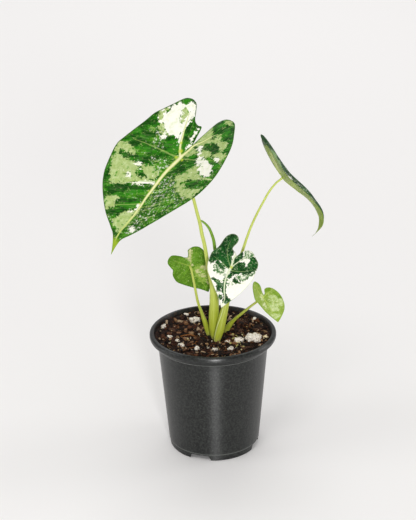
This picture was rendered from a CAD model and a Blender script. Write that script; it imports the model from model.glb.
"""The looks of a small potted alocasia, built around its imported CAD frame.

Lengths in the tables are millimetres in the CAD's frame and become metres through MM.
"""

import math
import random

import bmesh
import bpy
import numpy as np
from mathutils import Matrix, Vector, geometry, noise


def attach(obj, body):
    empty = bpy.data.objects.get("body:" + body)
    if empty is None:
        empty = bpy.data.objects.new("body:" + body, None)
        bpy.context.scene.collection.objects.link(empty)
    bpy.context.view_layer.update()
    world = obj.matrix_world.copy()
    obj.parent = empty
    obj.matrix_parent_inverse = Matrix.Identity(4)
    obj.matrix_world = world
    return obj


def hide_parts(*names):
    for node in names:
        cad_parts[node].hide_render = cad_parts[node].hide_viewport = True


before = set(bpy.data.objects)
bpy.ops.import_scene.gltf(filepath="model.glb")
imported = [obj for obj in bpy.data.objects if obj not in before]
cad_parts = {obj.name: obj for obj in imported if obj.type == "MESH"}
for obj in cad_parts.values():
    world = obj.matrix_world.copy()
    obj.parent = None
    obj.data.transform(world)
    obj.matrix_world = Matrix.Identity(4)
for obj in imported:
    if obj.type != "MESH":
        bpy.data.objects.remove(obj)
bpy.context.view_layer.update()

MM = 0.001
scene = bpy.context.scene

# ---------------------------------------------------------------- the pot's numbers
POT_HEIGHT = 107.2
RIM_RADIUS = 55.0
RIM_INNER = 51.2
COLLAR_Z = 97.4
COLLAR_RADIUS = 50.5
WALL_TOP_RADIUS = 47.9
WALL_FOOT_RADIUS = 39.9
WALL = 1.5
FLOOR = 1.6
FOOT_HEIGHT = 5.0
FOOT_OUTER = 39.5
FOOT_INNER = 36.6
BOSS_RADIUS = 16.4
NOTCHES = 4
NOTCH_FIRST = -19.0
NOTCH_HALF = 14.5
DRAIN_RADIUS = 3.5
DRAIN_AT = 26.5
SOIL_TOP = 101.9

# ---------------------------------------------------------------- the leaves' numbers
LEAVES = {
    "leaf_blade_large": dict(
        at=(-24.0, -10.0, 269.0), tip=(-0.65, -0.47, -0.60), up=(-0.38, -0.58, 0.70), fold=(16.0, 16.0), soft=5.0, droop=0.002, lobe_droop=0.003,
        left=[(-14.2, 0.5), (-28.5, -4.0), (-32.0, -6.0), (-31.0, -9.0), (-33.0, -14.0), (-39.5, -19.0), (-44.5, -23.0), (-46.5, -26.0), (-47.0, -30.0), (-45.0, -34.0), (-41.0, -36.5), (-32.5, -39.5), (-25.0, -42.5), (-17.5, -45.5), (-7.0, -47.0), (12.0, -51.0), (22.0, -52.5), (36.0, -49.0), (47.0, -45.0), (58.0, -37.5), (71.5, -24.0), (80.0, -11.5), (85.0, -5.0)],
        right=[(-14.2, 0.5), (-29.0, 1.8), (-37.5, 2.6), (-43.0, 3.6), (-48.0, 7.0), (-49.0, 13.5), (-46.5, 21.5), (-36.0, 32.0), (-28.5, 38.5), (-19.0, 44.0), (-3.0, 50.0), (11.0, 51.5), (27.0, 47.5), (45.5, 35.5), (65.5, 21.0), (77.5, 11.0), (84.0, 5.0), (91.0, 4.2)],
        point=(99.0, 5.3),
        spacing=1.0, lean=0.57,
        veins=[
            ([(-1.0, 0.2), (4.0, -0.2), (15.0, -1.5), (27.5, -1.2), (37.0, -1.0), (49.5, -0.3), (59.0, 0.0), (69.5, -0.5), (81.0, -1.2), (88.0, 0.2), (97.0, 4.6)], 2.0, 0.35),
            ([(1.0, 0.0), (-6.5, -7.0), (-16.0, -12.4), (-24.5, -17.0), (-31.0, -20.5), (-36.0, -23.6)], 1.1, 0.12),
            ([(1.0, 0.5), (-8.5, 1.6), (-14.0, 2.4), (-21.0, 7.5), (-27.0, 11.6), (-32.0, 15.6)], 1.6, 0.12),
            ([(1.0, -1.0), (3.0, -9.0), (4.5, -18.0), (7.5, -32.5), (10.5, -44.0)], 0.85, 0.2),
            ([(27.0, -1.0), (33.0, -10.0), (37.5, -18.0), (43.0, -27.0), (49.0, -37.0)], 0.9, 0.25),
            ([(50.0, -0.5), (57.0, -10.0), (63.0, -19.0), (67.0, -26.0)], 0.5, 0.15),
            ([(2.0, 1.0), (-1.0, 10.0), (-5.0, 24.0), (-9.0, 40.0)], 0.55, 0.15),
            ([(37.0, -1.0), (28.0, 15.5), (18.5, 27.0), (10.0, 40.0)], 0.5, 0.15),
            ([(54.0, 0.0), (47.0, 12.0), (41.0, 24.0)], 0.45, 0.12),
            ([(70.0, 0.0), (65.0, 8.0), (61.0, 15.0)], 0.35, 0.1),
        ],
        spots=[(2.5, -3.5, 1.6), (2.0, 3.5, 1.5), (29.0, 1.3, 1.2), (38.5, -3.0, 1.2), (51.5, -2.4, 1.0), (38.5, 1.4, 1.0), (-4.0, -4.2, 2.2), (-10.0, -9.0, 1.3)],
        patches=[
            ("s", [(-13.0, -35.5), (-13.0, -30.0), (-10.5, -21.5), (-7.0, -24.5), (-10.5, -30.0), (-12.5, -36.0)]),
            ("m", [(-7.5, -37.5), (-10.5, -30.0), (-8.0, -25.5), (-2.0, -21.5), (2.0, -16.5), (5.0, -20.5), (5.0, -27.5), (2.0, -31.5), (-3.5, -31.5), (-4.5, -37.0)]),
            ("d", [(-19.0, -46.5), (-20.0, -43.0), (-15.0, -39.5), (-13.0, -35.0), (-10.0, -34.5), (-6.5, -39.0), (-0.5, -38.5), (-3.5, -31.5), (2.5, -32.5), (7.5, -34.0), (6.0, -18.5), (4.0, -10.5), (1.0, -4.5), (8.5, -6.5), (11.5, -13.5), (13.5, -29.0), (16.0, -37.5), (15.5, -45.5), (15.5, -49.0), (7.5, -48.5), (-1.0, -46.5), (-10.0, -46.0)]),
            ("w", [(-29.0, -40.0), (-40.0, -35.0), (-40.5, -32.0), (-45.5, -26.5), (-43.5, -22.5), (-39.0, -19.0), (-33.0, -17.0), (-28.0, -16.0), (-23.5, -15.0), (-17.0, -15.0), (-12.0, -11.0), (-6.0, -7.0), (-10.5, -13.5), (-11.0, -17.5), (-10.0, -22.5), (-11.5, -28.5), (-14.0, -32.0), (-14.5, -38.5), (-19.5, -42.0), (-25.5, -41.5)]),
            ("s", [(-33.5, -28.0), (-36.5, -27.5), (-35.5, -24.0), (-30.0, -20.5), (-25.5, -20.0), (-25.5, -22.5), (-29.5, -26.0)]),
            ("s", [(-19.0, -43.0), (-25.0, -41.0), (-28.0, -39.0), (-22.0, -38.0), (-14.0, -36.0), (-14.5, -38.5)]),
            ("d", [(-9.0, -21.5), (-11.0, -17.0), (-8.5, -10.0), (-4.0, -5.0), (0.5, -5.5), (3.0, -11.0), (3.0, -16.0), (0.5, -21.0), (-4.5, -22.5)]),
            ("d", [(-40.5, -36.0), (-44.5, -34.5), (-47.0, -30.0), (-47.0, -26.5), (-43.0, -29.0), (-40.0, -31.5)]),
            ("d", [(-39.0, -20.0), (-33.0, -13.0), (-28.5, -10.5), (-22.5, -6.0), (-11.5, -3.0), (-5.5, -3.0), (-8.5, -7.0), (-17.0, -13.0), (-23.0, -14.0), (-32.0, -16.0)]),
            ("d", [(-31.0, -8.5), (-31.5, -5.5), (-27.0, -3.0), (-13.5, -0.5), (-9.5, 0.0), (-23.5, -4.5)]),
            ("w", [(-30.0, -8.3), (-29.0, -7.0), (-12.5, -1.2), (-8.0, -0.8), (-8.0, -2.0), (-17.0, -4.3)]),
            ("w", [(-9.5, -26.5), (-7.5, -22.5), (-3.5, -22.5), (-4.5, -26.0)]),
            ("s", [(27.5, -48.0), (23.0, -50.0), (25.5, -44.5), (27.5, -38.5), (26.5, -32.0), (23.0, -18.5), (21.0, -13.5), (23.5, -10.5), (24.5, -6.5), (30.5, -8.5), (34.5, -13.5), (45.5, -28.5), (49.0, -34.0), (45.5, -39.5), (36.0, -44.5)]),
            ("s", [(21.0, -50.5), (17.0, -48.0), (16.0, -42.5), (17.5, -36.5), (20.5, -38.5), (22.0, -46.0)]),
            ("d", [(23.5, -47.0), (22.5, -40.5), (21.0, -33.0), (17.0, -25.5), (16.0, -19.0), (19.5, -14.0), (22.0, -19.0), (24.5, -29.0), (27.5, -37.5), (26.5, -44.5)]),
            ("w", [(25.5, -30.0), (23.0, -25.0), (23.5, -22.5), (27.0, -24.5)]),
            ("w", [(42.0, -23.0), (34.5, -13.0), (30.5, -5.5), (32.5, -4.0), (37.0, -11.5), (40.0, -18.5)]),
            ("w", [(37.0, -29.0), (34.5, -26.5), (36.5, -24.5), (39.0, -26.5)]),
            ("d", [(30.0, -24.5), (26.0, -21.5), (28.5, -16.0), (29.5, -12.5), (33.0, -17.0), (32.0, -23.0)]),
            ("d", [(55.0, -36.0), (50.0, -31.0), (42.0, -19.0), (39.0, -9.5), (40.0, -5.5), (47.0, -10.5), (51.0, -14.5), (58.5, -26.0), (57.5, -33.0)]),
            ("s", [(62.0, -29.0), (58.0, -24.5), (57.5, -20.0), (64.5, -24.0), (66.0, -20.5), (67.5, -24.5)]),
            ("d", [(60.0, -21.5), (55.5, -18.0), (49.5, -9.5), (48.0, -3.0), (52.5, -2.0), (58.5, -7.0), (67.0, -11.0), (69.5, -11.5), (72.0, -15.5), (68.5, -22.5), (64.0, -15.0), (59.5, -17.0)]),
            ("s", [(59.0, -2.5), (59.5, -0.5), (67.0, 0.0), (74.0, -0.5), (78.0, -2.0), (77.5, -9.0), (75.0, -12.0), (68.0, -10.0)]),
            ("w", [(50.0, -1.2), (51.0, 0.8), (57.0, -1.0), (61.0, -4.5), (55.5, -3.2)]),
            ("d", [(47.0, -45.0), (37.5, -48.0), (39.5, -43.0), (46.0, -40.0), (53.5, -36.0), (55.0, -38.5)]),
            ("s", [(-20.5, 2.5), (-29.0, 1.5), (-35.5, 2.0), (-34.5, 6.0), (-31.0, 11.0), (-26.0, 12.0), (-25.5, 16.5), (-31.5, 16.5), (-32.0, 19.5), (-28.0, 23.5), (-27.0, 31.0), (-24.5, 35.5), (-20.5, 36.0), (-20.5, 30.0), (-22.0, 24.5), (-22.5, 16.5), (-20.5, 11.5), (-17.5, 10.5), (-15.5, 7.0), (-15.0, 2.0)]),
            ("s", [(-11.0, 12.5), (-14.5, 16.5), (-13.5, 24.5), (-9.0, 24.5), (-6.0, 19.0)]),
            ("s", [(-2.5, 3.0), (-7.5, 3.5), (-11.5, 6.0), (-8.0, 10.0), (-4.5, 8.0)]),
            ("s", [(-14.5, 33.5), (-18.0, 35.0), (-18.0, 39.0), (-13.5, 43.0), (-9.5, 42.5), (-9.5, 37.5)]),
            ("s", [(17.0, 13.0), (12.0, 17.5), (2.0, 21.5), (0.0, 27.5), (4.5, 28.5), (9.0, 36.0), (8.0, 48.5), (10.5, 42.0), (15.0, 35.5), (14.5, 29.0), (20.0, 17.5)]),
            ("s", [(23.0, 18.0), (20.5, 24.5), (22.0, 32.5), (19.5, 45.5), (19.0, 49.0), (26.0, 46.0), (28.0, 36.5), (26.5, 24.5)]),
            ("w", [(-3.5, 17.0), (-10.0, 16.5), (-16.5, 11.0), (-14.5, 9.5), (-8.0, 14.5), (-7.0, 21.5), (-5.5, 30.0), (-4.0, 40.5), (-0.5, 43.5), (4.5, 45.5), (7.5, 43.0), (8.0, 36.5), (4.5, 28.5), (0.5, 26.5), (0.5, 21.0)]),
            ("w", [(-11.5, 36.5), (-9.0, 35.5), (-8.0, 40.5), (-10.5, 41.5)]),
            ("d", [(-36.5, 4.0), (-43.0, 5.5), (-46.5, 9.5), (-43.5, 12.0), (-43.5, 19.0), (-47.0, 20.5), (-38.5, 30.0), (-31.5, 36.5), (-24.5, 42.0), (-18.0, 44.5), (-19.0, 35.5), (-21.0, 38.0), (-25.5, 35.5), (-28.0, 29.5), (-28.5, 23.0), (-33.0, 19.0), (-31.5, 16.5), (-26.0, 16.0), (-25.5, 12.5), (-31.0, 11.0)]),
            ("s", [(-43.5, 12.5), (-46.5, 12.5), (-47.5, 18.5), (-44.0, 18.0)]),
            ("d", [(-19.0, 13.0), (-22.0, 16.5), (-22.5, 24.0), (-19.5, 31.0), (-14.5, 32.0), (-15.0, 24.5), (-14.0, 18.0), (-17.5, 20.0)]),
            ("d", [(-5.0, 33.0), (-8.5, 37.0), (-7.0, 44.5), (-1.5, 47.5), (3.5, 48.5), (-1.5, 42.5), (-4.0, 41.0)]),
            ("d", [(-2.0, 7.5), (-8.0, 12.5), (-3.5, 17.5), (1.5, 20.5), (3.5, 12.0), (-1.0, 13.5)]),
            ("d", [(9.0, 51.5), (-3.0, 49.5), (-0.5, 52.5), (11.5, 54.0), (27.5, 48.0), (23.0, 47.0)]),
            ("d", [(9.0, 2.5), (3.0, 13.0), (1.5, 20.5), (9.5, 17.5), (14.0, 13.0), (16.0, 10.5)]),
            ("d", [(18.0, 26.0), (15.0, 29.0), (13.0, 36.0), (9.0, 48.0), (13.5, 49.0), (18.5, 42.5), (22.5, 32.0)]),
            ("m", [(22.0, 2.0), (18.0, 12.0), (22.0, 20.0), (30.0, 26.0), (30.0, 44.0), (46.0, 33.0), (66.0, 19.0), (80.0, 8.0), (70.0, 2.0), (50.0, 1.5)]),
            ("m", [(5.0, -6.0), (10.0, -20.0), (18.0, -18.0), (24.0, -6.0), (22.0, -3.5), (10.0, -3.5)]),
            ("w", [(71.5, 6.5), (71.0, 10.5), (74.0, 10.5), (74.5, 7.0)]),
        ],
    ),
    "leaf_blade_side": dict(
        at=(60.0, 6.0, 244.2), tip=(0.63, -0.25, -0.735), up=(0.773, 0.121, 0.625), fold=(11.3, 11.8), soft=3.0, droop=-0.028, curl=0.00085, lobe_droop=-0.0142, lobe_curl=0.00028, tip_fold=2.0,
        left=[(-9.0, 0.0), (-17.0, -2.5), (-24.0, -4.5), (-30.0, -8.0), (-34.5, -12.5), (-36.5, -17.5), (-34.0, -23.5), (-27.0, -28.0), (-17.0, -30.5), (-6.0, -32.0), (6.0, -31.5), (17.0, -28.5), (27.5, -23.5), (37.0, -17.0), (45.0, -11.5), (50.5, -8.0), (55.0, -4.4), (58.5, -1.8)],
        right=[(-9.0, 0.0), (-17.0, 2.5), (-25.0, 4.5), (-32.0, 8.0), (-37.5, 12.5), (-40.0, 17.5), (-37.5, 24.0), (-29.0, 28.5), (-18.0, 31.0), (-6.0, 32.5), (6.0, 32.0), (17.0, 29.0), (27.5, 24.0), (37.0, 17.5), (45.0, 12.0), (50.5, 8.4), (55.0, 4.6), (58.5, 1.8)],
        point=(64.0, 0.0),
        spacing=0.9, lean=0.0,
        veins=[
            ([(-1.0, 0.0), (20.0, 0.3), (40.0, -0.2), (58.0, 0.0)], 1.2, 0.25),
            ([(0.0, 0.0), (-10.0, -6.0), (-22.0, -12.5), (-33.0, -17.0)], 0.9, 0.2),
            ([(0.0, 0.0), (-10.0, 6.0), (-22.0, 12.5), (-35.0, 17.0)], 0.9, 0.2),
            ([(1.0, 0.0), (5.0, -12.0), (12.0, -26.0)], 0.5, 0.15),
            ([(1.0, 0.0), (5.0, 12.0), (12.0, 26.0)], 0.5, 0.15),
            ([(15.0, 0.0), (22.0, -10.0), (30.0, -18.0)], 0.45, 0.12),
            ([(15.0, 0.0), (22.0, 10.0), (30.0, 18.0)], 0.45, 0.12),
            ([(31.0, 0.0), (37.0, -7.0), (43.0, -10.0)], 0.35, 0.1),
            ([(31.0, 0.0), (37.0, 7.0), (43.0, 10.0)], 0.35, 0.1),
        ],
        spots=[(0.0, 1.6, 1.2), (15.5, 1.2, 0.8), (31.5, -1.0, 0.7)],
        patches=[
            ("w", [(-5.0, -6.0), (-14.0, -9.0), (-22.0, -17.0), (-24.0, -22.0), (-17.0, -21.0), (-9.0, -15.0)]),
            ("s", [(4.0, -3.0), (12.0, -4.0), (18.0, -14.0), (14.0, -22.0), (8.0, -24.0), (4.0, -14.0)]),
            ("w", [(20.0, 2.0), (25.0, 4.0), (30.0, 10.0), (27.0, 12.5), (21.0, 9.0), (17.0, 5.0)]),
            ("s", [(-6.0, 6.0), (-18.0, 12.0), (-24.0, 20.0), (-18.0, 25.0), (-8.0, 20.0), (-3.0, 12.0)]),
            ("m", [(-20.0, -14.0), (-4.0, -4.0), (14.0, -3.0), (34.0, -3.0), (36.0, -12.0), (20.0, -20.0), (0.0, -24.0)]),
            ("m", [(-10.0, 4.0), (14.0, 4.0), (34.0, 3.0), (34.0, 12.0), (16.0, 22.0), (0.0, 24.0)]),
            ("s", [(36.0, -1.0), (50.0, -1.0), (46.0, 5.0), (38.0, 6.0)]),
            ("w", [(2.0, 14.0), (7.0, 18.0), (6.0, 22.0), (2.0, 20.0)]),
            ("s", [(26.0, -5.0), (32.0, -6.0), (31.0, -11.0), (26.0, -10.0)]),
        ],
    ),
    "leaf_blade_centre": dict(
        at=(16.0, -17.0, 173.0), tip=(-0.20, -0.45, -0.87), up=(-0.10, -0.80, 0.45), fold=(12.0, 12.0), soft=3.0, droop=0.006, lobe_droop=0.006,
        left=[(-10.5, 3.0), (-13.5, 1.0), (-16.0, -1.8), (-18.5, -1.0), (-21.5, 1.0), (-25.0, 1.8), (-28.0, 0.0), (-29.0, -3.5), (-27.5, -7.0), (-24.0, -10.0), (-16.0, -13.5), (-10.5, -18.0), (-6.5, -19.3), (-0.5, -20.2), (6.0, -19.0), (12.5, -15.0), (20.0, -10.2), (27.5, -5.3)],
        right=[(-10.5, 3.0), (-14.0, 6.0), (-16.0, 8.5), (-16.7, 11.5), (-16.0, 15.5), (-13.0, 18.2), (-10.0, 20.8), (-7.0, 22.7), (-3.0, 22.8), (1.5, 21.6), (6.5, 20.6), (12.0, 17.5), (19.5, 12.0), (25.0, 7.1), (29.0, 3.2)],
        point=(34.7, -2.4),
        spacing=0.55, lean=0.1,
        veins=[
            ([(-0.5, 0.0), (4.0, -1.4), (8.0, -2.6), (13.5, -3.0), (19.5, -2.4), (26.0, -0.8), (33.0, -2.0)], 0.9, 0.2),
            ([(-0.5, 0.0), (-7.0, 0.6), (-11.0, 2.0), (-13.4, 3.6)], 0.9, 0.45),
            ([(0.0, 0.0), (-4.0, 3.4), (-9.0, 8.5), (-13.5, 13.0)], 0.45, 0.15),
            ([(0.0, 0.0), (-6.0, -3.5), (-14.0, -6.0), (-22.0, -5.0)], 0.4, 0.12),
            ([(2.0, -0.8), (-2.0, -7.0), (-5.0, -12.5), (-7.0, -16.5)], 0.35, 0.1),
            ([(2.0, -0.8), (2.0, 8.0), (-0.5, 18.0)], 0.35, 0.1),
            ([(10.0, -2.8), (12.0, 5.0), (11.0, 14.0)], 0.3, 0.1),
            ([(10.0, -2.8), (12.5, -8.0), (13.0, -12.5)], 0.3, 0.1),
        ],
        spots=[(-0.5, 0.2, 1.5)],
        patches=[
            ("w", [(-40.0, -40.0), (50.0, -40.0), (50.0, 40.0), (-40.0, 40.0)]),
            ("d", [(-1.5, -18.5), (-6.5, -19.5), (-10.5, -18.5), (-16.5, -14.0), (-24.0, -10.5), (-29.5, -7.0), (-30.0, -0.5), (-26.0, 2.5), (-21.5, 1.5), (-18.5, -0.5), (-16.0, -1.5), (-13.5, -0.5), (-9.5, -1.0), (-4.5, -1.0), (-1.0, -1.0), (1.0, -2.0), (-0.5, -4.5), (-3.5, -7.0), (-4.5, -11.5), (-4.0, -14.0), (-1.5, -16.5)]),
            ("m", [(-28.0, -6.0), (-24.0, 2.0), (-14.0, -1.0), (-5.0, -2.0), (-4.0, -10.0), (-10.0, -18.0)]),
            ("d", [(-11.0, 3.4), (-14.5, 4.8), (-14.5, 7.0), (-11.0, 8.2), (-8.5, 6.6), (-6.5, 5.0), (-5.0, 7.5), (-5.5, 11.0), (-3.0, 11.0), (-1.5, 14.5), (1.5, 12.5), (2.0, 9.0), (4.0, 7.0), (4.5, 4.5), (5.5, 2.0), (8.5, 0.5), (8.0, -2.0), (6.5, -1.0), (3.5, 0.5), (-1.0, 1.0), (-3.5, 1.2), (-8.0, 2.0)]),
            ("d", [(-10.0, 16.0), (-11.0, 19.5), (-8.0, 22.0), (-4.0, 22.5), (-1.0, 21.0), (3.0, 18.0), (2.5, 15.5), (-1.0, 15.0), (-4.5, 14.5), (-7.0, 15.5)]),
            ("d", [(9.5, 4.0), (8.5, 7.5), (10.0, 10.5), (11.5, 8.0), (11.5, 5.5)]),
            ("d", [(3.0, 11.0), (2.0, 14.5), (5.5, 16.0), (6.5, 13.5)]),
            ("s", [(1.5, -15.5), (-1.0, -14.5), (-3.0, -12.0), (-1.0, -6.5), (2.0, -3.5), (4.5, -4.0), (6.5, -3.5), (8.0, -6.0), (6.0, -11.5)]),
            ("d", [(-2.5, -13.0), (0.5, -9.5), (2.0, -6.0), (0.8, -6.2), (-1.2, -9.5), (-3.5, -12.0)]),
            ("d", [(12.0, -14.0), (11.6, -12.0), (13.0, -8.5), (14.5, -5.8), (16.5, -5.0), (18.5, -6.0), (21.0, -6.0), (20.0, -8.0), (17.5, -9.0), (15.5, -8.5), (13.5, -12.0)]),
            ("d", [(24.0, -5.8), (24.3, -3.5), (26.5, -3.3), (26.7, -5.2)]),
            ("d", [(8.5, -3.5), (9.0, -1.8), (15.0, -2.0), (19.0, -1.6), (21.0, -1.0), (23.0, 0.4), (25.0, 1.6), (27.0, 3.5), (28.0, 4.5), (30.0, 0.5), (29.0, -1.8), (25.0, -2.0), (21.5, -3.8), (18.0, -5.0), (14.0, -4.0)]),
            ("s", [(13.0, -1.5), (12.6, 4.5), (14.5, 5.0), (15.0, -1.5)]),
            ("s", [(-14.5, 9.0), (-16.5, 11.0), (-15.0, 15.5), (-12.5, 18.5), (-10.5, 16.5), (-10.0, 13.0), (-8.0, 8.0), (-11.5, 9.5)]),
            ("s", [(5.0, 7.0), (2.5, 15.5), (-0.5, 20.0), (2.0, 21.0), (6.5, 16.0), (10.0, 10.5), (8.5, 6.5)]),
        ],
    ),
    "leaf_blade_left": dict(
        at=(-19.0, 3.0, 167.0), tip=(0.42, 0.25, -0.85), up=(-0.30, 0.93, 0.10), fold=(10.0, 10.0), soft=3.0, droop=0.004, lobe_droop=0.004,
        left=[(-8.5, -2.5), (-11.0, -4.5), (-13.8, -5.6), (-14.5, -8.0), (-13.4, -12.0), (-10.0, -15.5), (-6.0, -17.1), (-1.0, -17.5), (10.0, -17.0), (20.0, -13.0), (27.0, -7.5)],
        right=[(-8.5, -2.5), (-10.5, 0.0), (-13.5, 2.0), (-18.3, 7.5), (-17.0, 12.0), (-13.0, 14.8), (-7.0, 14.6), (-4.0, 14.4), (0.0, 16.7), (5.0, 17.3), (10.0, 16.2), (20.0, 8.7), (26.0, 3.0)],
        point=(32.5, -1.5),
        spacing=0.6, lean=0.2,
        veins=[
            ([(-0.5, 0.0), (10.0, -1.0), (20.0, -1.6), (31.0, -1.5)], 0.7, 0.15),
            ([(0.0, 0.0), (-5.0, -5.0), (-11.0, -9.0)], 0.5, 0.15),
            ([(0.0, 0.0), (-6.0, 4.0), (-12.5, 9.0)], 0.5, 0.15),
            ([(1.0, 0.0), (5.0, 7.0), (9.0, 13.5)], 0.3, 0.1),
            ([(1.0, 0.0), (4.0, -7.0), (8.0, -14.0)], 0.3, 0.1),
            ([(12.0, -1.1), (17.0, 4.0), (20.0, 7.5)], 0.25, 0.1),
            ([(12.0, -1.1), (17.0, -7.0), (20.0, -11.5)], 0.25, 0.1),
        ],
        spots=[],
        patches=[
            ("s", [(5.5, -5.5), (14.0, -12.5), (24.0, -8.5), (18.5, -2.0), (10.5, -1.5)]),
            ("w", [(-9.0, -2.0), (-14.0, -6.5), (-13.5, -9.0), (-9.5, -7.0), (-5.0, -4.0), (0.0, -3.0), (0.0, -1.0), (-4.0, -1.5)]),
            ("w", [(7.5, -9.0), (9.5, -12.0), (12.5, -12.0), (11.5, -8.5), (9.0, -7.5)]),
            ("w", [(8.0, -2.5), (10.5, -5.5), (13.0, -4.0), (14.0, -2.0), (12.0, -1.8)]),
            ("w", [(22.0, -3.8), (22.5, -6.0), (25.0, -6.2), (26.0, -4.8)]),
            ("w", [(13.5, -4.0), (18.5, -8.0), (19.0, -6.5), (15.0, -3.5)]),
        ],
    ),
    "leaf_blade_right": dict(
        at=(43.0, 2.0, 136.5), tip=(0.55, -0.25, -0.80), up=(0.55, -0.70, 0.45), fold=(17.0, 17.0), soft=3.0, droop=0.004, lobe_droop=0.004,
        left=[(-1.0, 3.0), (-3.0, 3.0), (-5.0, 3.5), (-8.0, 4.8), (-10.5, 5.2), (-13.0, 4.7), (-15.0, 3.5), (-15.3, 2.0), (-14.2, 0.0), (-12.0, -2.5), (-9.0, -5.0), (-5.5, -7.5), (-2.5, -9.0), (0.5, -8.4), (5.5, -7.5), (10.5, -6.5), (14.5, -5.0), (18.0, -3.5), (22.0, -1.5)],
        right=[(-1.0, 3.0), (-2.0, 4.5), (-4.5, 6.0), (-5.0, 8.0), (-4.0, 10.5), (-2.0, 12.5), (1.0, 14.2), (5.0, 15.4), (9.0, 15.6), (13.0, 15.0), (16.5, 13.8), (19.5, 11.6), (21.5, 9.0), (23.2, 6.0), (24.6, 3.0)],
        point=(25.5, 0.0),
        spacing=0.5, lean=0.1,
        veins=[
            ([(-0.5, 0.5), (6.5, 1.0), (14.0, 0.5), (24.5, 0.0)], 0.5, 0.12),
            ([(0.0, 0.5), (-4.5, 0.0), (-11.5, 1.2)], 0.45, 0.12),
            ([(0.0, 0.5), (-0.5, 6.0), (-0.5, 10.5)], 0.45, 0.12),
            ([(0.0, 0.5), (3.0, 7.0), (6.0, 13.0)], 0.28, 0.1),
            ([(7.0, 1.0), (11.0, 6.0), (15.0, 10.5)], 0.28, 0.1),
            ([(0.5, 0.5), (1.5, -4.0), (1.0, -7.0)], 0.28, 0.1),
            ([(7.0, 1.0), (11.0, -3.0), (13.5, -4.6)], 0.25, 0.1),
            ([(15.0, 0.5), (18.5, 4.0), (21.0, 6.0)], 0.22, 0.1),
        ],
        spots=[(0.0, 1.0, 1.0)],
        patches=[
            ("w", [(-2.5, 1.0), (0.0, 1.5), (2.5, 2.5), (2.0, 0.0), (-0.5, -2.0), (-2.5, -2.0)]),
            ("s", [(4.0, 6.0), (6.5, 10.5), (9.0, 9.5), (7.0, 5.5)]),
            ("w", [(5.0, -3.0), (6.5, -1.8), (7.8, -3.0), (6.5, -4.6)]),
            ("s", [(9.5, 12.0), (11.5, 14.0), (14.0, 13.0), (13.5, 10.5)]),
            ("s", [(17.0, -1.0), (20.5, 3.5), (23.0, 2.5), (21.5, -0.5)]),
            ("s", [(9.0, 1.5), (14.0, 3.0), (16.0, 7.0), (12.0, 7.5)]),
            ("d", [(-15.0, 3.6), (-13.0, 4.8), (-9.0, 5.2), (-9.5, 3.6), (-13.0, 2.6)]),
            ("d", [(-4.5, 6.6), (-5.0, 10.0), (-2.0, 12.4), (-0.5, 9.0), (-2.5, 6.6)]),
            ("d", [(2.0, 12.0), (6.0, 15.5), (10.0, 15.6), (8.0, 12.6), (4.0, 11.0)]),
        ],
    ),
}

PETIOLES = {
    "petiole_large": [
        (3.0, -4.6, 94.0, 2.8), (2.8, -5.0, 99.0, 2.9), (2.3, -5.3, 102.5, 3.3), (1.6, -5.3, 107.0, 3.8), (1.1, -5.2, 112.5, 4.1), (1.0, -5.0, 122.0, 4.1), (1.4, -5.0, 132.0, 4.0), (1.2, -4.8, 141.0, 3.5),
        (0.4, -4.5, 151.5, 2.7), (-1.4, -4.2, 160.5, 2.05), (-3.0, -4.0, 168.5, 1.75), (-4.5, -4.0, 178.5, 1.65), (-6.0, -4.0, 189.0, 1.6), (-8.0, -4.0, 198.5, 1.55),
        (-9.5, -4.0, 208.0, 1.5), (-12.0, -4.5, 219.0, 1.4), (-14.3, -5.0, 229.5, 1.35), (-18.5, -6.2, 246.0, 1.35), (-21.8, -7.2, 258.0, 1.35), (-23.2, -8.0, 264.0, 1.4), (-23.9, -9.4, 268.2, 1.5),
    ],
    "petiole_side": [
        (3.6, -10.9, 94.5, 2.1), (3.4, -11.4, 99.0, 2.3), (3.5, -12.2, 103.0, 2.7), (4.5, -12.4, 108.0, 3.1), (6.2, -11.6, 113.5, 3.4), (7.9, -10.2, 121.0, 3.4), (9.8, -9.1, 129.0, 3.1), (12.0, -7.8, 137.0, 2.5),
        (15.8, -5.2, 151.0, 1.8), (21.0, -3.0, 167.0, 1.35), (26.0, -1.0, 181.5, 1.25), (32.5, 1.0, 200.5, 1.2), (38.5, 2.0, 214.0, 1.15), (43.5, 3.0, 223.5, 1.1), (48.5, 4.0, 232.5, 1.05), (54.0, 5.0, 239.4, 1.0), (57.5, 5.7, 242.2, 1.05), (59.6, 6.1, 243.8, 1.1),
    ],
    "petiole_centre": [(10.6, -10.4, 136.5, 1.5), (11.4, -12.0, 143.0, 1.35), (12.6, -13.0, 150.0, 1.15), (14.2, -13.8, 160.0, 1.0), (15.4, -14.6, 167.5, 0.95), (15.9, -16.3, 172.4, 1.0)],
    "petiole_left": [(-2.0, 1.0, 93.0, 1.5), (-2.9, 1.0, 99.0, 1.7), (-4.0, 0.4, 104.0, 2.0), (-5.4, -0.2, 110.0, 2.1), (-7.0, -0.6, 116.5, 2.1), (-8.4, -0.6, 121.0, 1.7), (-10.0, -0.6, 126.5, 1.3), (-12.6, -0.3, 135.0, 1.15), (-15.3, 0.5, 151.0, 1.05), (-17.4, 1.0, 163.0, 0.95), (-18.8, 2.4, 166.8, 1.0)],
    "petiole_right": [(9.0, 3.4, 93.0, 1.6), (10.4, 4.6, 98.5, 1.9), (11.6, 5.2, 103.0, 2.1), (13.2, 4.6, 107.5, 2.3), (15.4, 3.4, 111.5, 2.2), (17.6, 2.4, 114.6, 1.6), (20.4, 1.4, 118.0, 1.3), (24.0, 0.6, 121.6, 1.15), (31.5, 1.2, 127.8, 1.05), (37.2, 2.4, 131.8, 1.0), (42.4, 2.6, 135.8, 1.0)],
}
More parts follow.
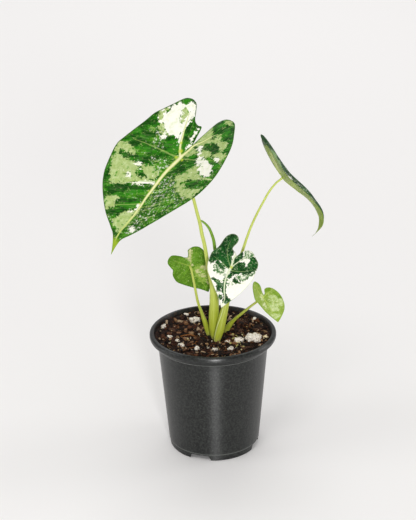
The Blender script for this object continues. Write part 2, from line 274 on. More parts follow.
YOUNG_LEAF = [(4.2, 0.4, 94.0, 1.6), (4.0, 1.2, 104.0, 1.7), (3.9, 1.4, 120.0, 1.8), (3.8, 1.2, 140.0, 1.8), (3.9, 1.2, 163.5, 1.65), (3.2, 1.5, 177.5, 1.5), (2.6, 1.5, 184.0, 1.45), (1.6, 1.5, 191.5, 1.35), (-1.3, 1.5, 200.5, 1.15), (-4.4, 1.5, 205.2, 1.0), (-7.5, 1.5, 208.0, 0.85), (-10.5, 1.5, 209.6, 0.5)]
SHEATH_EDGE = [(9.2, -12.6, 136.0, 0.3), (8.0, -13.2, 130.0, 0.38), (6.2, -13.8, 124.5, 0.42), (4.2, -13.9, 119.0, 0.42), (2.6, -13.9, 113.0, 0.4), (1.6, -14.0, 108.0, 0.35), (1.6, -14.0, 103.0, 0.3)]

# Perlite grains: x, y, half lengths, turn about z in degrees.
PERLITE = [
    (-16.0, 27.4, 4.3, 2.6, 2.4, 10), (-12.1, 2.3, 1.5, 3.0, 1.6, 20), (-37.2, -5.9, 2.3, 2.2, 1.8, 0), (-31.1, -12.8, 2.2, 1.7, 1.5, 40), (-27.2, -20.5, 2.5, 1.8, 1.6, -15), (34.6, -13.1, 6.3, 5.0, 3.8, -12),
    (22.6, -14.6, 3.6, 3.0, 2.6, 25), (12.4, -17.4, 2.1, 1.6, 1.5, 0), (45.0, -10.6, 2.4, 2.0, 1.8, 60), (1.5, -30.2, 2.6, 1.6, 1.4, 5), (14.9, -29.5, 2.4, 2.2, 1.7, 30), (-13.8, -28.5, 2.3, 1.9, 1.6, 70),
    (37.6, 28.0, 1.9, 1.7, 1.5, 0), (-23.7, 40.0, 2.0, 1.5, 1.4, 15), (-43.0, 14.6, 2.0, 2.3, 1.6, 0),
]
# Bark chips: x, y, half lengths, turn about z, tilt.
BARK = [
    (39.4, 8.6, 4.6, 2.2, 1.3, 35, 12), (-33.5, 8.5, 5.2, 2.4, 1.4, -20, 8), (-4.5, -37.5, 4.4, 2.2, 1.2, 12, -10), (24.5, 24.5, 5.4, 2.6, 1.5, -35, 10), (-28.0, 24.0, 4.8, 2.3, 1.3, 30, -8), (27.6, -28.2, 4.8, 2.4, 1.3, 42, 6),
    (2.5, 36.5, 5.0, 2.4, 1.4, 5, 7), (-18.5, -40.0, 3.6, 1.9, 1.1, 30, 6), (24.0, 4.5, 3.8, 2.0, 1.2, 70, -9),
]
FIBRE = [(-28.0, -6.2), (-23.5, -3.6), (-19.0, -3.2), (-15.0, -5.4)]


# ---------------------------------------------------------------- node helpers
def rgb(code):
    """A linear colour from an sRGB hex code."""
    out = []
    for i in (0, 2, 4):
        v = int(code[i : i + 2], 16) / 255.0
        out.append(v / 12.92 if v <= 0.04045 else ((v + 0.055) / 1.055) ** 2.4)
    return (*out, 1.0)


class Graph:
    """A material and short ways to wire its nodes."""

    def __init__(self, name, roughness=0.5, specular=0.5, coat=0.0, coat_rough=0.2, sheen=0.0):
        self.mat = bpy.data.materials.new(name)
        self.mat.use_nodes = True
        self.tree = self.mat.node_tree
        self.bsdf = self.tree.nodes["Principled BSDF"]
        self.bsdf.inputs["Roughness"].default_value = roughness
        self.bsdf.inputs["Specular IOR Level"].default_value = specular
        self.bsdf.inputs["Coat Weight"].default_value = coat
        self.bsdf.inputs["Coat Roughness"].default_value = coat_rough
        self.bsdf.inputs["Sheen Weight"].default_value = sheen
        self.bsdf.inputs["Metallic"].default_value = 0.0

    def set(self, socket, value):
        if isinstance(value, bpy.types.NodeSocket):
            self.tree.links.new(value, socket)
        else:
            socket.default_value = value

    def math(self, op, a, b=0.0, clamp=False):
        node = self.tree.nodes.new("ShaderNodeMath")
        node.operation = op
        node.use_clamp = clamp
        self.set(node.inputs[0], a)
        self.set(node.inputs[1], b)
        return node.outputs[0]

    def add(self, a, b):
        return self.math("ADD", a, b)

    def sub(self, a, b):
        return self.math("SUBTRACT", a, b)

    def mul(self, a, b):
        return self.math("MULTIPLY", a, b)

    def step(self, value, low, high, smooth=True):
        node = self.tree.nodes.new("ShaderNodeMapRange")
        node.interpolation_type = "SMOOTHSTEP" if smooth else "LINEAR"
        node.clamp = True
        self.set(node.inputs["Value"], value)
        node.inputs["From Min"].default_value = low
        node.inputs["From Max"].default_value = high
        return node.outputs["Result"]

    def attribute(self, name):
        node = self.tree.nodes.new("ShaderNodeAttribute")
        node.attribute_type = "GEOMETRY"
        node.attribute_name = name
        return node.outputs["Fac"]

    def attribute_colour(self, name):
        node = self.tree.nodes.new("ShaderNodeAttribute")
        node.attribute_type = "GEOMETRY"
        node.attribute_name = name
        return node.outputs["Color"]

    def vector(self, x, y, z=0.0):
        node = self.tree.nodes.new("ShaderNodeCombineXYZ")
        for socket, value in zip(node.inputs, (x, y, z)):
            self.set(socket, value)
        return node.outputs[0]

    def place(self):
        """The point in millimetres in the piece's own frame."""
        node = self.tree.nodes.new("ShaderNodeTexCoord")
        scaled = self.tree.nodes.new("ShaderNodeVectorMath")
        scaled.operation = "SCALE"
        scaled.inputs["Scale"].default_value = 1000.0
        self.tree.links.new(node.outputs["Object"], scaled.inputs[0])
        return scaled.outputs[0]

    def noise(self, vector, scale, detail=3.0, rough=0.55, distortion=0.0):
        node = self.tree.nodes.new("ShaderNodeTexNoise")
        self.set(node.inputs["Vector"], vector)
        node.inputs["Scale"].default_value = scale
        node.inputs["Detail"].default_value = detail
        node.inputs["Roughness"].default_value = rough
        node.inputs["Distortion"].default_value = distortion
        return node.outputs["Fac"]

    def cells(self, vector, scale, feature="F1"):
        node = self.tree.nodes.new("ShaderNodeTexVoronoi")
        node.feature = feature
        self.set(node.inputs["Vector"], vector)
        node.inputs["Scale"].default_value = scale
        return node.outputs["Distance"]

    def mix(self, factor, a, b):
        node = self.tree.nodes.new("ShaderNodeMix")
        node.data_type = "RGBA"
        self.set(node.inputs[0], factor)
        self.set(node.inputs[6], a)
        self.set(node.inputs[7], b)
        return node.outputs[2]

    def blend(self, factor, a, b):
        node = self.tree.nodes.new("ShaderNodeMix")
        node.data_type = "FLOAT"
        self.set(node.inputs[0], factor)
        self.set(node.inputs[2], a)
        self.set(node.inputs[3], b)
        return node.outputs[0]

    def ramp(self, factor, stops):
        node = self.tree.nodes.new("ShaderNodeValToRGB")
        self.set(node.inputs[0], factor)
        ramp = node.color_ramp
        while len(ramp.elements) < len(stops):
            ramp.elements.new(0.5)
        for element, (position, colour) in zip(ramp.elements, stops):
            element.position = position
            element.color = colour
        return node.outputs[0]

    def bump(self, height, distance, strength=1.0, normal=None):
        node = self.tree.nodes.new("ShaderNodeBump")
        node.inputs["Strength"].default_value = strength
        node.inputs["Distance"].default_value = distance
        self.set(node.inputs["Height"], height)
        if normal is not None:
            self.set(node.inputs["Normal"], normal)
        return node.outputs[0]

    def colour(self, value):
        self.set(self.bsdf.inputs["Base Color"], value)

    def rough(self, value):
        self.set(self.bsdf.inputs["Roughness"], value)

    def normal(self, value):
        self.set(self.bsdf.inputs["Normal"], value)


# ---------------------------------------------------------------- mesh helpers
def make(name, vertices, faces, material, smooth=True, attributes=None, colours=None):
    """A mesh object from millimetre vertices, with point attributes."""
    mesh = bpy.data.meshes.new(name)
    mesh.from_pydata([tuple(v) for v in (np.asarray(vertices, float) * MM).tolist()], [], [tuple(f) for f in faces])
    mesh.update()
    if smooth:
        mesh.shade_smooth()
    for key, values in (attributes or {}).items():
        mesh.attributes.new(key, "FLOAT", "POINT").data.foreach_set("value", np.asarray(values, np.float32))
    for key, values in (colours or {}).items():
        mesh.attributes.new(key, "FLOAT_COLOR", "POINT").data.foreach_set("color", np.asarray(values, np.float32).ravel())
    mesh.materials.append(material)
    obj = bpy.data.objects.new(name, mesh)
    scene.collection.objects.link(obj)
    return obj


def smooth_points(points, per_span, closed=False):
    """Points read from a Catmull-Rom curve through the given ones."""
    count = len(points)
    found = []
    spans = count if closed else count - 1
    for i in range(spans):
        if closed:
            p0, p1, p2, p3 = (points[k % count] for k in (i - 1, i, i + 1, i + 2))
        else:
            p0, p1, p2, p3 = (points[min(max(k, 0), count - 1)] for k in (i - 1, i, i + 1, i + 2))
        for step in range(per_span):
            t = step / per_span
            found.append(tuple(0.5 * (2 * b + (c - a) * t + (2 * a - 5 * b + 4 * c - d) * t * t + (3 * b - a - 3 * c + d) * t**3) for a, b, c, d in zip(p0, p1, p2, p3)))
    if not closed:
        found.append(tuple(points[-1]))
    return found


def evenly(points, spacing, closed=False):
    """The line resampled at about the given spacing."""
    line = np.array(points, float)
    if closed:
        line = np.vstack([line, line[:1]])
    lengths = np.hypot(*np.diff(line[:, :2], axis=0).T) if line.shape[1] == 2 else np.linalg.norm(np.diff(line[:, :3], axis=0), axis=1)
    total = np.concatenate([[0.0], np.cumsum(lengths)])
    count = max(2, int(round(total[-1] / spacing)))
    at = np.linspace(0.0, total[-1], count + 1)
    out = np.stack([np.interp(at, total, line[:, k]) for k in range(line.shape[1])], 1)
    return out[:-1] if closed else out


def line_distance(points, line):
    """For each point, its distance to the polyline and the share of the line's length there."""
    best = np.full(len(points), 1e9)
    share = np.zeros(len(points))
    lengths = np.linalg.norm(np.diff(line, axis=0), axis=1)
    total = max(lengths.sum(), 1e-9)
    walked = 0.0
    for start, end, length in zip(line[:-1], line[1:], lengths):
        way = end - start
        t = np.clip(((points - start) @ way) / max(length * length, 1e-12), 0.0, 1.0)
        far = np.linalg.norm(points - (start + t[:, None] * way), axis=1)
        closer = far < best
        best = np.where(closer, far, best)
        share = np.where(closer, (walked + t * length) / total, share)
        walked += length
    return best, share


def inside(points, ring):
    """Even-odd test of 2D points against a closed ring."""
    x, y = points[:, 0], points[:, 1]
    found = np.zeros(len(points), bool)
    for (x1, y1), (x2, y2) in zip(ring, np.roll(ring, -1, axis=0)):
        if y1 == y2:
            continue
        crosses = (y1 > y) != (y2 > y)
        found ^= crosses & (x < (x2 - x1) * (y - y1) / (y2 - y1) + x1)
    return found


def patch_field(points, outline):
    """Signed distance to a rounded patch, positive inside."""
    ring = np.array(smooth_points(outline, 4, closed=True), float)
    far, _ = line_distance(points, np.vstack([ring, ring[:1]]))
    return np.where(inside(points, ring), far, -far)


# ---------------------------------------------------------------- leaves
def leaf_axes(leaf):
    along = Vector(leaf["tip"]).normalized()
    up = Vector(leaf["up"])
    up = (up - along * up.dot(along)).normalized()
    return np.array(along), np.array(up.cross(along)), np.array(up)


def on_leaf(leaf, flat):
    """Where points a, b of the blade lie in space, and which way its upper face looks."""
    along, across, up = leaf_axes(leaf)
    a, b = flat[:, 0], flat[:, 1]
    reach = np.abs(a)
    sign = np.where(a > 0, 1.0, -1.0)
    first = np.where(a > 0, leaf["droop"], leaf["lobe_droop"])
    more = np.where(a > 0, leaf.get("curl", 0.0), leaf.get("lobe_curl", 0.0))
    pieces = 16
    s = (np.arange(pieces)[None, :] + 0.5) * reach[:, None] / pieces
    turns = first[:, None] * s + more[:, None] * s * s
    run = np.cos(turns).sum(1) * reach / pieces
    drop = np.sin(turns).sum(1) * reach / pieces
    turn = first * reach + more * reach * reach
    fold = np.radians(np.where(b > 0, leaf["fold"][1], leaf["fold"][0]))
    soft = leaf["soft"]
    lift = (np.sqrt(b * b + soft * soft) - soft) * np.sin(fold)
    close = np.clip((a - 0.5 * leaf["point"][0]) / (0.35 * leaf["point"][0]), 0.0, 1.0)
    lift = lift * (1.0 + leaf.get("tip_fold", 0.0) * close * close * (3.0 - 2.0 * close))
    local_up = up[None] * np.cos(turn)[:, None] + along[None] * (sign * np.sin(turn))[:, None]
    return np.array(leaf["at"])[None] + along[None] * (sign * run)[:, None] - up[None] * drop[:, None] + across[None] * (b * np.cos(fold))[:, None] + local_up * lift[:, None]


def leaf_normals(leaf, flat):
    e = 0.05
    da = on_leaf(leaf, flat + np.array([e, 0.0])) - on_leaf(leaf, flat - np.array([e, 0.0]))
    db = on_leaf(leaf, flat + np.array([0.0, e])) - on_leaf(leaf, flat - np.array([0.0, e]))
    n = np.cross(da, db)
    n /= np.linalg.norm(n, axis=1)[:, None]
    up = leaf_axes(leaf)[2]
    return n * np.where(n @ up < 0, -1.0, 1.0)[:, None]


def build_leaf(name, leaf, material, thickness=0.34):
    spacing = leaf["spacing"] * 1.0
    left = smooth_points(leaf["left"] + [leaf["point"]], 6)
    right = smooth_points(leaf["right"] + [leaf["point"]], 6)
    outline = left + right[::-1][1:-1]
    ring = evenly(outline, spacing * 0.8, closed=True)
    veins = []
    for points, wide, narrow in leaf["veins"]:
        line = evenly(smooth_points(points, 6), spacing * 0.8)
        veins.append((line, wide, narrow))
    extra = []
    for line, wide, narrow in veins:
        way = np.gradient(line, axis=0)
        way /= np.maximum(np.linalg.norm(way, axis=1), 1e-9)[:, None]
        side = np.stack([-way[:, 1], way[:, 0]], 1)
        width = np.linspace(wide, narrow, len(line))[:, None]
        extra.append(line)
        for k in (-1.0, 1.0):
            extra.append(line + side * k * np.maximum(width, spacing * 0.5))
        if wide > 1.0:
            for k in (-2.0, 2.0):
                extra.append(line + side * k * width)
    extra = np.vstack(extra)
    low, high = ring.min(0), ring.max(0)
    rows = []
    y = low[1] + spacing * 0.5
    row = 0
    while y < high[1]:
        xs = np.arange(low[0] + (spacing * 0.5 if row % 2 else 0.0), high[0], spacing)
        rows.append(np.stack([xs, np.full_like(xs, y)], 1))
        y += spacing * 0.866
        row += 1
    grid = np.vstack(rows)

    def far_from(points, others, distance):
        cell = {}
        for i, (u, v) in enumerate(others):
            cell.setdefault((int(u // distance), int(v // distance)), []).append((u, v))
        keep = np.ones(len(points), bool)
        for i, (u, v) in enumerate(points):
            cu, cv = int(u // distance), int(v // distance)
            for du in (-1, 0, 1):
                for dv in (-1, 0, 1):
                    for p, q in cell.get((cu + du, cv + dv), ()):
                        if (p - u) ** 2 + (q - v) ** 2 < distance * distance:
                            keep[i] = False
                            break
        return keep

    def thin_out(points, distance):
        cell, kept = {}, []
        for u, v in points:
            cu, cv = int(u // distance), int(v // distance)
            if any((p - u) ** 2 + (q - v) ** 2 < distance * distance for du in (-1, 0, 1) for dv in (-1, 0, 1) for p, q in cell.get((cu + du, cv + dv), ())):
                continue
            cell.setdefault((cu, cv), []).append((u, v))
            kept.append((u, v))
        return np.array(kept)

    extra = extra[inside(extra, ring)]
    extra = extra[far_from(extra, ring, spacing * 0.55)]
    extra = thin_out(extra, spacing * 0.35)
    grid = grid[inside(grid, ring)]
    grid = grid[far_from(grid, ring, spacing * 0.7)]
    grid = grid[far_from(grid, extra, spacing * 0.6)]
    flat = np.vstack([ring, extra, grid])
    count = len(ring)
    edges = [(i, (i + 1) % count) for i in range(count)]
    made = geometry.delaunay_2d_cdt([Vector(p) for p in flat.tolist()], edges, [list(range(count))], 1, 1e-5)
    verts2, faces = made[0], made[2]
    flat = np.array([tuple(v) for v in verts2])
    faces = [tuple(f) for f in faces if len(f) == 3]
    used = sorted({i for f in faces for i in f})
    renumber = {old: new for new, old in enumerate(used)}
    flat = flat[used]
    faces = [tuple(renumber[i] for i in f) for f in faces]

    closed_ring = np.vstack([ring, ring[:1]])
    edge, _ = line_distance(flat, closed_ring)
    vein = np.full(len(flat), 30.0)
    vein_mm = np.full(len(flat), 30.0)
    big = np.full(len(flat), 30.0)
    for index, (line, wide, narrow) in enumerate(veins):
        far, share = line_distance(flat, line)
        width = wide + (narrow - wide) * share
        vein = np.minimum(vein, far / width)
        vein_mm = np.minimum(vein_mm, far)
        if index < 3:
            big = np.minimum(big, far / width)
    fields = {key: np.full(len(flat), -8.0) for key in "wsd"}
    mottle = np.full(len(flat), -8.0)
    for kind, patch in leaf["patches"]:
        field = patch_field(flat, patch)
        if kind == "m":
            mottle = np.maximum(mottle, field)
            continue
        for key in "wsd":
            fields[key] = np.maximum(fields[key], field) if key == kind else np.minimum(fields[key], -field)
    spot = np.zeros(len(flat))
    for a, b, size in leaf["spots"]:
        spot = np.maximum(spot, np.exp(-(((flat[:, 0] - a) ** 2 + (flat[:, 1] - b) ** 2) / (size * size))))

    size = leaf.get("quilt", 0.45 if leaf["spacing"] > 0.8 else 0.22)
    pillow = size * (1.0 - np.exp(-((vein_mm / (9.0 * size)) ** 2))) * np.clip(edge / 4.0, 0.0, 1.0)
    ridge = np.zeros(len(flat))
    for index, (line, wide, narrow) in enumerate(veins):
        far, share = line_distance(flat, line)
        width = wide + (narrow - wide) * share
        ridge = np.maximum(ridge, width * np.exp(-((far / width) ** 2)) * (0.55 if index < 3 else 0.4))
    rest = on_leaf(leaf, flat)
    normal = leaf_normals(leaf, flat)
    wave = np.array([noise.noise(Vector((p[0] * 0.06, p[1] * 0.06, 3.1 + leaf["at"][0]))) + 0.5 * noise.noise(Vector((p[0] * 0.16, p[1] * 0.16, 8.3))) for p in flat]) * (0.8 if leaf["spacing"] > 0.8 else 0.4)
    half = thickness * 0.5 * np.clip(0.45 + edge / 1.5, 0.45, 1.0)
    upper = rest + normal * (wave * np.clip(edge / 6.0, 0.15, 1.0) + pillow + half + ridge * 0.28)[:, None]
    lower = rest + normal * (wave * np.clip(edge / 6.0, 0.15, 1.0) + pillow - half - ridge * 0.75)[:, None]

    # orientation of the flat triangles decides which copy is reversed
    a, b, c = (upper[[f[k] for f in faces[:200]]] for k in range(3))
    facing = np.einsum("ij,ij->i", np.cross(b - a, c - a), normal[[f[0] for f in faces[:200]]]).mean() > 0
    top = faces if facing else [f[::-1] for f in faces]
    bottom = [tuple(i + len(flat) for i in f[::-1]) for f in top]
    counted = {}
    for f in top:
        for i, j in zip(f, f[1:] + f[:1]):
            counted[(i, j)] = counted.get((i, j), 0) + 1
    rim = [(j, i, i + len(flat), j + len(flat)) for (i, j) in counted if (j, i) not in counted]
    lean = leaf["lean"]
    streak = flat[:, 0] + (lean * flat[:, 1] if lean > 0.3 else -0.45 * np.abs(flat[:, 1]))
    polar = np.arctan2(flat[:, 1], -flat[:, 0] + 6.0) * 26.0
    lobes = np.clip((2.0 - flat[:, 0] - 0.25 * np.abs(flat[:, 1])) / 10.0, 0.0, 1.0)
    twice = lambda values: np.concatenate([values, values])
    attributes = {
        "la": twice(flat[:, 0]), "lb": twice(flat[:, 1]), "streak": twice(streak), "polar": twice(polar), "lobes": twice(lobes),
        "wht": twice(np.clip(fields["w"], -8, 8)), "sag": twice(np.clip(fields["s"], -8, 8)), "drk": twice(np.clip(fields["d"], -8, 8)),
        "mot": twice(np.clip(mottle, -8, 8)), "vein": twice(np.clip(vein, 0, 12)), "bigvein": twice(np.clip(big, 0, 12)), "rim": twice(np.clip(edge, 0, 12)), "spot": twice(spot),
        "under": np.concatenate([np.zeros(len(flat)), np.ones(len(flat))]),
    }
    return make(name, np.vstack([upper, lower]), list(top) + bottom + rim, material, True, attributes)


def leaf_material(name, top, under, length, roughness=0.42, ragged=1.0, grain=1.0):
    """Variegated leaf tissue. top and under give the colours of each kind of patch."""
    g = Graph(name, roughness, top.get("gloss", 0.06))
    la, lb = g.attribute("la"), g.attribute("lb")
    flat = g.vector(la, lb)
    streaky = g.vector(g.mul(g.attribute("streak"), 0.62 * grain), g.mul(lb, 0.22 * grain))
    fan = g.vector(g.mul(g.attribute("polar"), 0.62 * grain), g.mul(la, 0.18 * grain), 4.0)
    lobes = g.attribute("lobes")
    n_streak = g.blend(lobes, g.noise(streaky, 0.5, 5.0, 0.62), g.noise(fan, 0.5, 5.0, 0.62))
    n_blob = g.noise(flat, 0.2 * grain, 6.0, 0.66, 0.4)
    n_fine = g.noise(flat, 0.55 * grain, 4.0, 0.62)
    rag = g.add(g.mul(g.sub(n_streak, 0.5), 20.0 * ragged), g.mul(g.sub(n_blob, 0.5), 15.0 * ragged))
    fine = g.mul(g.sub(n_fine, 0.5), 7.5 * ragged)
    n_other = g.noise(g.vector(lb, la, 7.0), 0.24 * grain, 6.0, 0.66, 0.4)
    rag2 = g.add(g.mul(g.sub(n_other, 0.5), 20.0 * ragged), g.mul(rag, 0.55))
    blur = top.get("blur", 0.0)
    white = g.step(g.add(g.attribute("wht"), g.add(g.mul(rag, 0.62), fine)), -0.2 - blur, 0.25 + blur)
    sage = g.step(g.add(g.add(g.attribute("sag"), top.get("more_sage", 0.0)), g.add(g.mul(rag2, 0.75), fine)), -0.25 - blur, 0.25 + blur)
    dark = g.step(g.add(g.add(g.attribute("drk"), top.get("more_dark", 0.0)), g.sub(g.mul(rag2, 0.3), g.add(g.mul(rag, 0.5), fine))), -0.2 - blur, 0.2 + blur)
    under_side = g.attribute("under")

    def pair(key):
        return g.mix(under_side, rgb(top[key]), rgb(under[key]))

    # green tissue: deep and mid green marbled along the side veins, with pale flecks
    m_streak = g.blend(lobes, g.noise(streaky, 0.85, 5.0, 0.66), g.noise(fan, 0.85, 5.0, 0.66))
    m_noise = g.blend(0.5, m_streak, g.noise(flat, 0.3 * grain, 5.0, 0.68))
    broad = g.blend(0.45, m_noise, g.noise(g.vector(g.mul(g.attribute("streak"), 0.11 * grain), g.mul(lb, 0.06 * grain), 6.0), 1.0, 3.0, 0.55))
    base = g.mix(g.step(broad, 0.46, 0.56), pair("green"), pair("green2"))
    m_field = g.step(g.add(g.attribute("mot"), g.mul(rag, 0.6)), -1.5, 1.5)
    pale = g.noise(g.vector(la, lb, 5.0), 0.33 * grain, 5.0, 0.68, 0.4)
    pale = g.add(g.blend(0.4, pale, m_streak), g.mul(m_field, top.get("mottle", 0.055)))
    base = g.mix(g.mul(g.step(pale, 0.565, 0.59), top.get("marble", 0.8)), base, pair("sage"))
    flecks = g.step(g.add(g.noise(g.vector(la, lb, 3.0), 0.5 * grain, 4.0, 0.7), g.mul(m_field, 0.05)), 0.62, 0.65)
    base = g.mix(g.mul(flecks, top.get("marble", 0.8)), base, pair("white"))
    sage_tone = g.mix(g.step(g.noise(flat, 0.3 * grain, 5.0, 0.72), 0.42, 0.62), pair("sage"), pair("sage2"))
    islands = g.noise(g.vector(la, lb, 9.0), 0.32 * grain, 5.0, 0.7, 0.3)
    sage_tone = g.mix(g.mul(g.step(islands, top.get("islands", 0.575), top.get("islands", 0.575) + 0.03), 0.85), sage_tone, pair("green2"))
    sage_tone = g.mix(g.mul(g.step(islands, top.get("glints", 0.36), top.get("glints", 0.36) - 0.03), 0.85), sage_tone, pair("white2"))
    col = g.mix(sage, base, sage_tone)
    white_tone = g.mix(g.step(g.noise(flat, 0.25 * grain, 4.0, 0.65), 0.45, 0.68), pair("white"), pair("white2"))
    col = g.mix(white, col, white_tone)
    deep = g.mix(g.step(broad, 0.45, 0.56), pair("dark"), pair("dark2"))
    fleck2 = g.step(g.noise(g.vector(lb, la, 1.0), 0.45 * grain, 5.0, 0.7), top.get("fleck_at", 0.6), top.get("fleck_at", 0.6) + 0.025)
    deep = g.mix(g.mul(fleck2, top.get("fleck", 0.6)), deep, pair("sage"))
    col = g.mix(dark, col, deep)
    fibre = g.blend(lobes, g.noise(g.vector(g.mul(g.attribute("streak"), grain), g.mul(lb, 0.05 * grain)), 1.9, 1.0, 0.5), g.noise(g.vector(g.mul(g.attribute("polar"), grain), g.mul(la, 0.05 * grain)), 1.9, 1.0, 0.5))
    col = g.mix(g.mul(g.step(fibre, 0.56, 0.66), 0.07), col, pair("vein"))
    vein_noise = g.mul(g.sub(g.noise(flat, 1.0 * grain, 3.0, 0.6), 0.5), 0.8)
    small = g.step(g.add(g.attribute("vein"), vein_noise), 1.2, 0.75)
    large = g.step(g.add(g.attribute("bigvein"), vein_noise), 1.15, 0.85)
    halo = g.step(g.attribute("bigvein"), 2.2, 0.9)
    fade = g.step(la, 0.45 * length, 0.85 * length)
    rib = g.mix(g.mul(fade, top.get("fade", 0.85)), pair("vein"), pair("vein_end"))
    col = g.mix(g.mul(halo, 0.2), col, pair("halo"))
    col = g.mix(g.mul(small, top.get("lateral", 0.32)), col, g.mix(0.75 if "lateral_green" in top else 0.0, pair("vein"), rgb(top.get("lateral_green", "8fb23c"))))
    centre = g.mix(g.step(g.add(g.attribute("bigvein"), vein_noise), 0.15, 0.9), rib, pair("vein_side"))
    col = g.mix(g.mul(large, top.get("main", 1.0)), col, centre)
    col = g.mix(g.mul(g.step(g.attribute("spot"), 0.2, 0.9), g.math("SUBTRACT", 0.85, under_side, True)), col, rgb(top["spot"]))
    rim_noise = g.mul(g.sub(g.noise(flat, top.get("margin_scale", 0.4) * grain, 4.0, 0.6), 0.45), top.get("margin_rag", 1.6))
    margin = g.step(g.add(g.attribute("rim"), rim_noise), top.get("margin_wide", 1.0), top.get("margin_wide", 1.0) - 0.4)
    col = g.mix(g.mul(margin, top.get("margin_on", 0.85)), col, pair("margin"))
    end = g.step(la, top.get("tip_at", 0.88) * length, (top.get("tip_at", 0.88) + 0.06) * length)
    col = g.mix(g.mul(end, top.get("tip_on", 0.8)), col, pair("tip"))
    if "lobe_dark" in top:
        far_lobe = g.step(g.add(la, g.add(g.mul(rag, 0.55), g.mul(fine, 1.2))), top["lobe_dark"] + 0.6, top["lobe_dark"] - 1.8)
        col = g.mix(g.mul(far_lobe, 0.95), col, rgb(top["green"]))
    hair = g.step(g.attribute("rim"), 0.30, 0.12)
    col = g.mix(g.mul(hair, 0.5), col, pair("hair"))
    g.colour(col)
    cellular = g.noise(flat, 4.5 * grain, 2.0, 0.6)
    g.rough(g.blend(g.math("MAXIMUM", white, g.mul(sage, 0.5)), roughness - 0.04, roughness + 0.12))
    height = g.add(g.mul(cellular, 0.3), g.mul(g.step(fibre, 0.5, 0.68), 0.9))
    height = g.add(height, g.mul(n_fine, 0.6))
    g.normal(g.bump(height, 0.00016, 0.55))
    return g.mat


# ---------------------------------------------------------------- stalks
def tube(path, around, squash=None):
    """Vertices, faces, share along and turn about a tapered tube with rounded ends."""
    path = np.array(path, float)
    centre, radius = path[:, :3], path[:, 3].copy()
    way = np.gradient(centre, axis=0)
    way /= np.linalg.norm(way, axis=1)[:, None]
    side = np.cross(way[0], (0.0, 1.0, 0.0))
    side /= np.linalg.norm(side)
    rings, along, turn = [], [], []
    lengths = np.concatenate([[0.0], np.cumsum(np.linalg.norm(np.diff(centre, axis=0), axis=1))])
    angles = np.linspace(0.0, 2 * math.pi, around, endpoint=False)
    for i in range(len(centre)):
        side = side - way[i] * side.dot(way[i])
        side /= np.linalg.norm(side)
        other = np.cross(way[i], side)
        shape = np.ones(around)
        if squash is not None:
            shape = squash(lengths[i], lengths[-1], angles)
        rings.append(centre[i] + radius[i] * shape[:, None] * (np.cos(angles)[:, None] * side + np.sin(angles)[:, None] * other))
        along.append(np.full(around, lengths[i]))
        turn.append(np.cos(angles))
    vertices = np.vstack(rings + [centre[:1] - way[:1] * radius[0] * 0.4, centre[-1:] + way[-1:] * radius[-1] * 0.5])
    faces = []
    for i in range(len(centre) - 1):
        for j in range(around):
            k = (j + 1) % around
            faces.append((i * around + j, i * around + k, (i + 1) * around + k, (i + 1) * around + j))
    first, last = len(centre) * around, len(centre) * around + 1
    base = (len(centre) - 1) * around
    for j in range(around):
        k = (j + 1) % around
        faces.append((first, k, j))
        faces.append((last, base + j, base + k))
    return vertices, faces, np.concatenate(along + [[0.0], [lengths[-1]]]), np.concatenate(turn + [[0.0], [0.0]])


def stalk_material(name, upper, lower, edge, base, roughness=0.38):
    g = Graph(name, roughness, 0.45)
    z = g.attribute("height")
    turn = g.attribute("turn")
    lines = g.noise(g.vector(g.mul(turn, 9.0), g.mul(z, 0.035), 2.0), 1.0, 3.0, 0.6)
    blotch = g.noise(g.place(), 0.12, 3.0, 0.6)
    col = g.mix(g.step(z, 112.0, 175.0), rgb(lower), rgb(upper))
    col = g.mix(g.mul(g.step(lines, 0.5, 0.62), 0.35), col, rgb(edge))
    col = g.mix(g.mul(g.step(blotch, 0.5, 0.7), 0.25), col, rgb("93a02e"))
    foot = g.step(g.add(z, g.mul(g.noise(g.place(), 0.5, 3.0, 0.6), 6.0)), 111.0, 104.5)
    col = g.mix(g.mul(foot, 0.75), col, rgb(base))
    pale = g.attribute("pale")
    col = g.mix(pale, col, rgb("dfe6b0"))
    g.colour(col)
    g.normal(g.bump(lines, 0.00025, 0.5))
    return g.mat


# ================================================================ the pot
def rounded(points, radius_at, arcs=4):
    """The profile with each corner replaced by a short curve."""
    out = [points[0]]
    for i in range(1, len(points) - 1):
        before, here, after = (np.array(points[k], float) for k in (i - 1, i, i + 1))
        r = radius_at.get(i, 0.4)
        d1, d2 = np.linalg.norm(before - here), np.linalg.norm(after - here)
        r = min(r, d1 * 0.42, d2 * 0.42)
        p, q = here + (before - here) / d1 * r, here + (after - here) / d2 * r
        for step in range(arcs + 1):
            t = step / arcs
            out.append(tuple((1 - t) ** 2 * p + 2 * t * (1 - t) * here + t * t * q))
    out.append(points[-1])
    return out


def inner_radius(z):
    slope = (WALL_TOP_RADIUS - WALL_FOOT_RADIUS) / (COLLAR_Z - FOOT_HEIGHT)
    return WALL_FOOT_RADIUS - WALL + slope * (z - FOOT_HEIGHT)


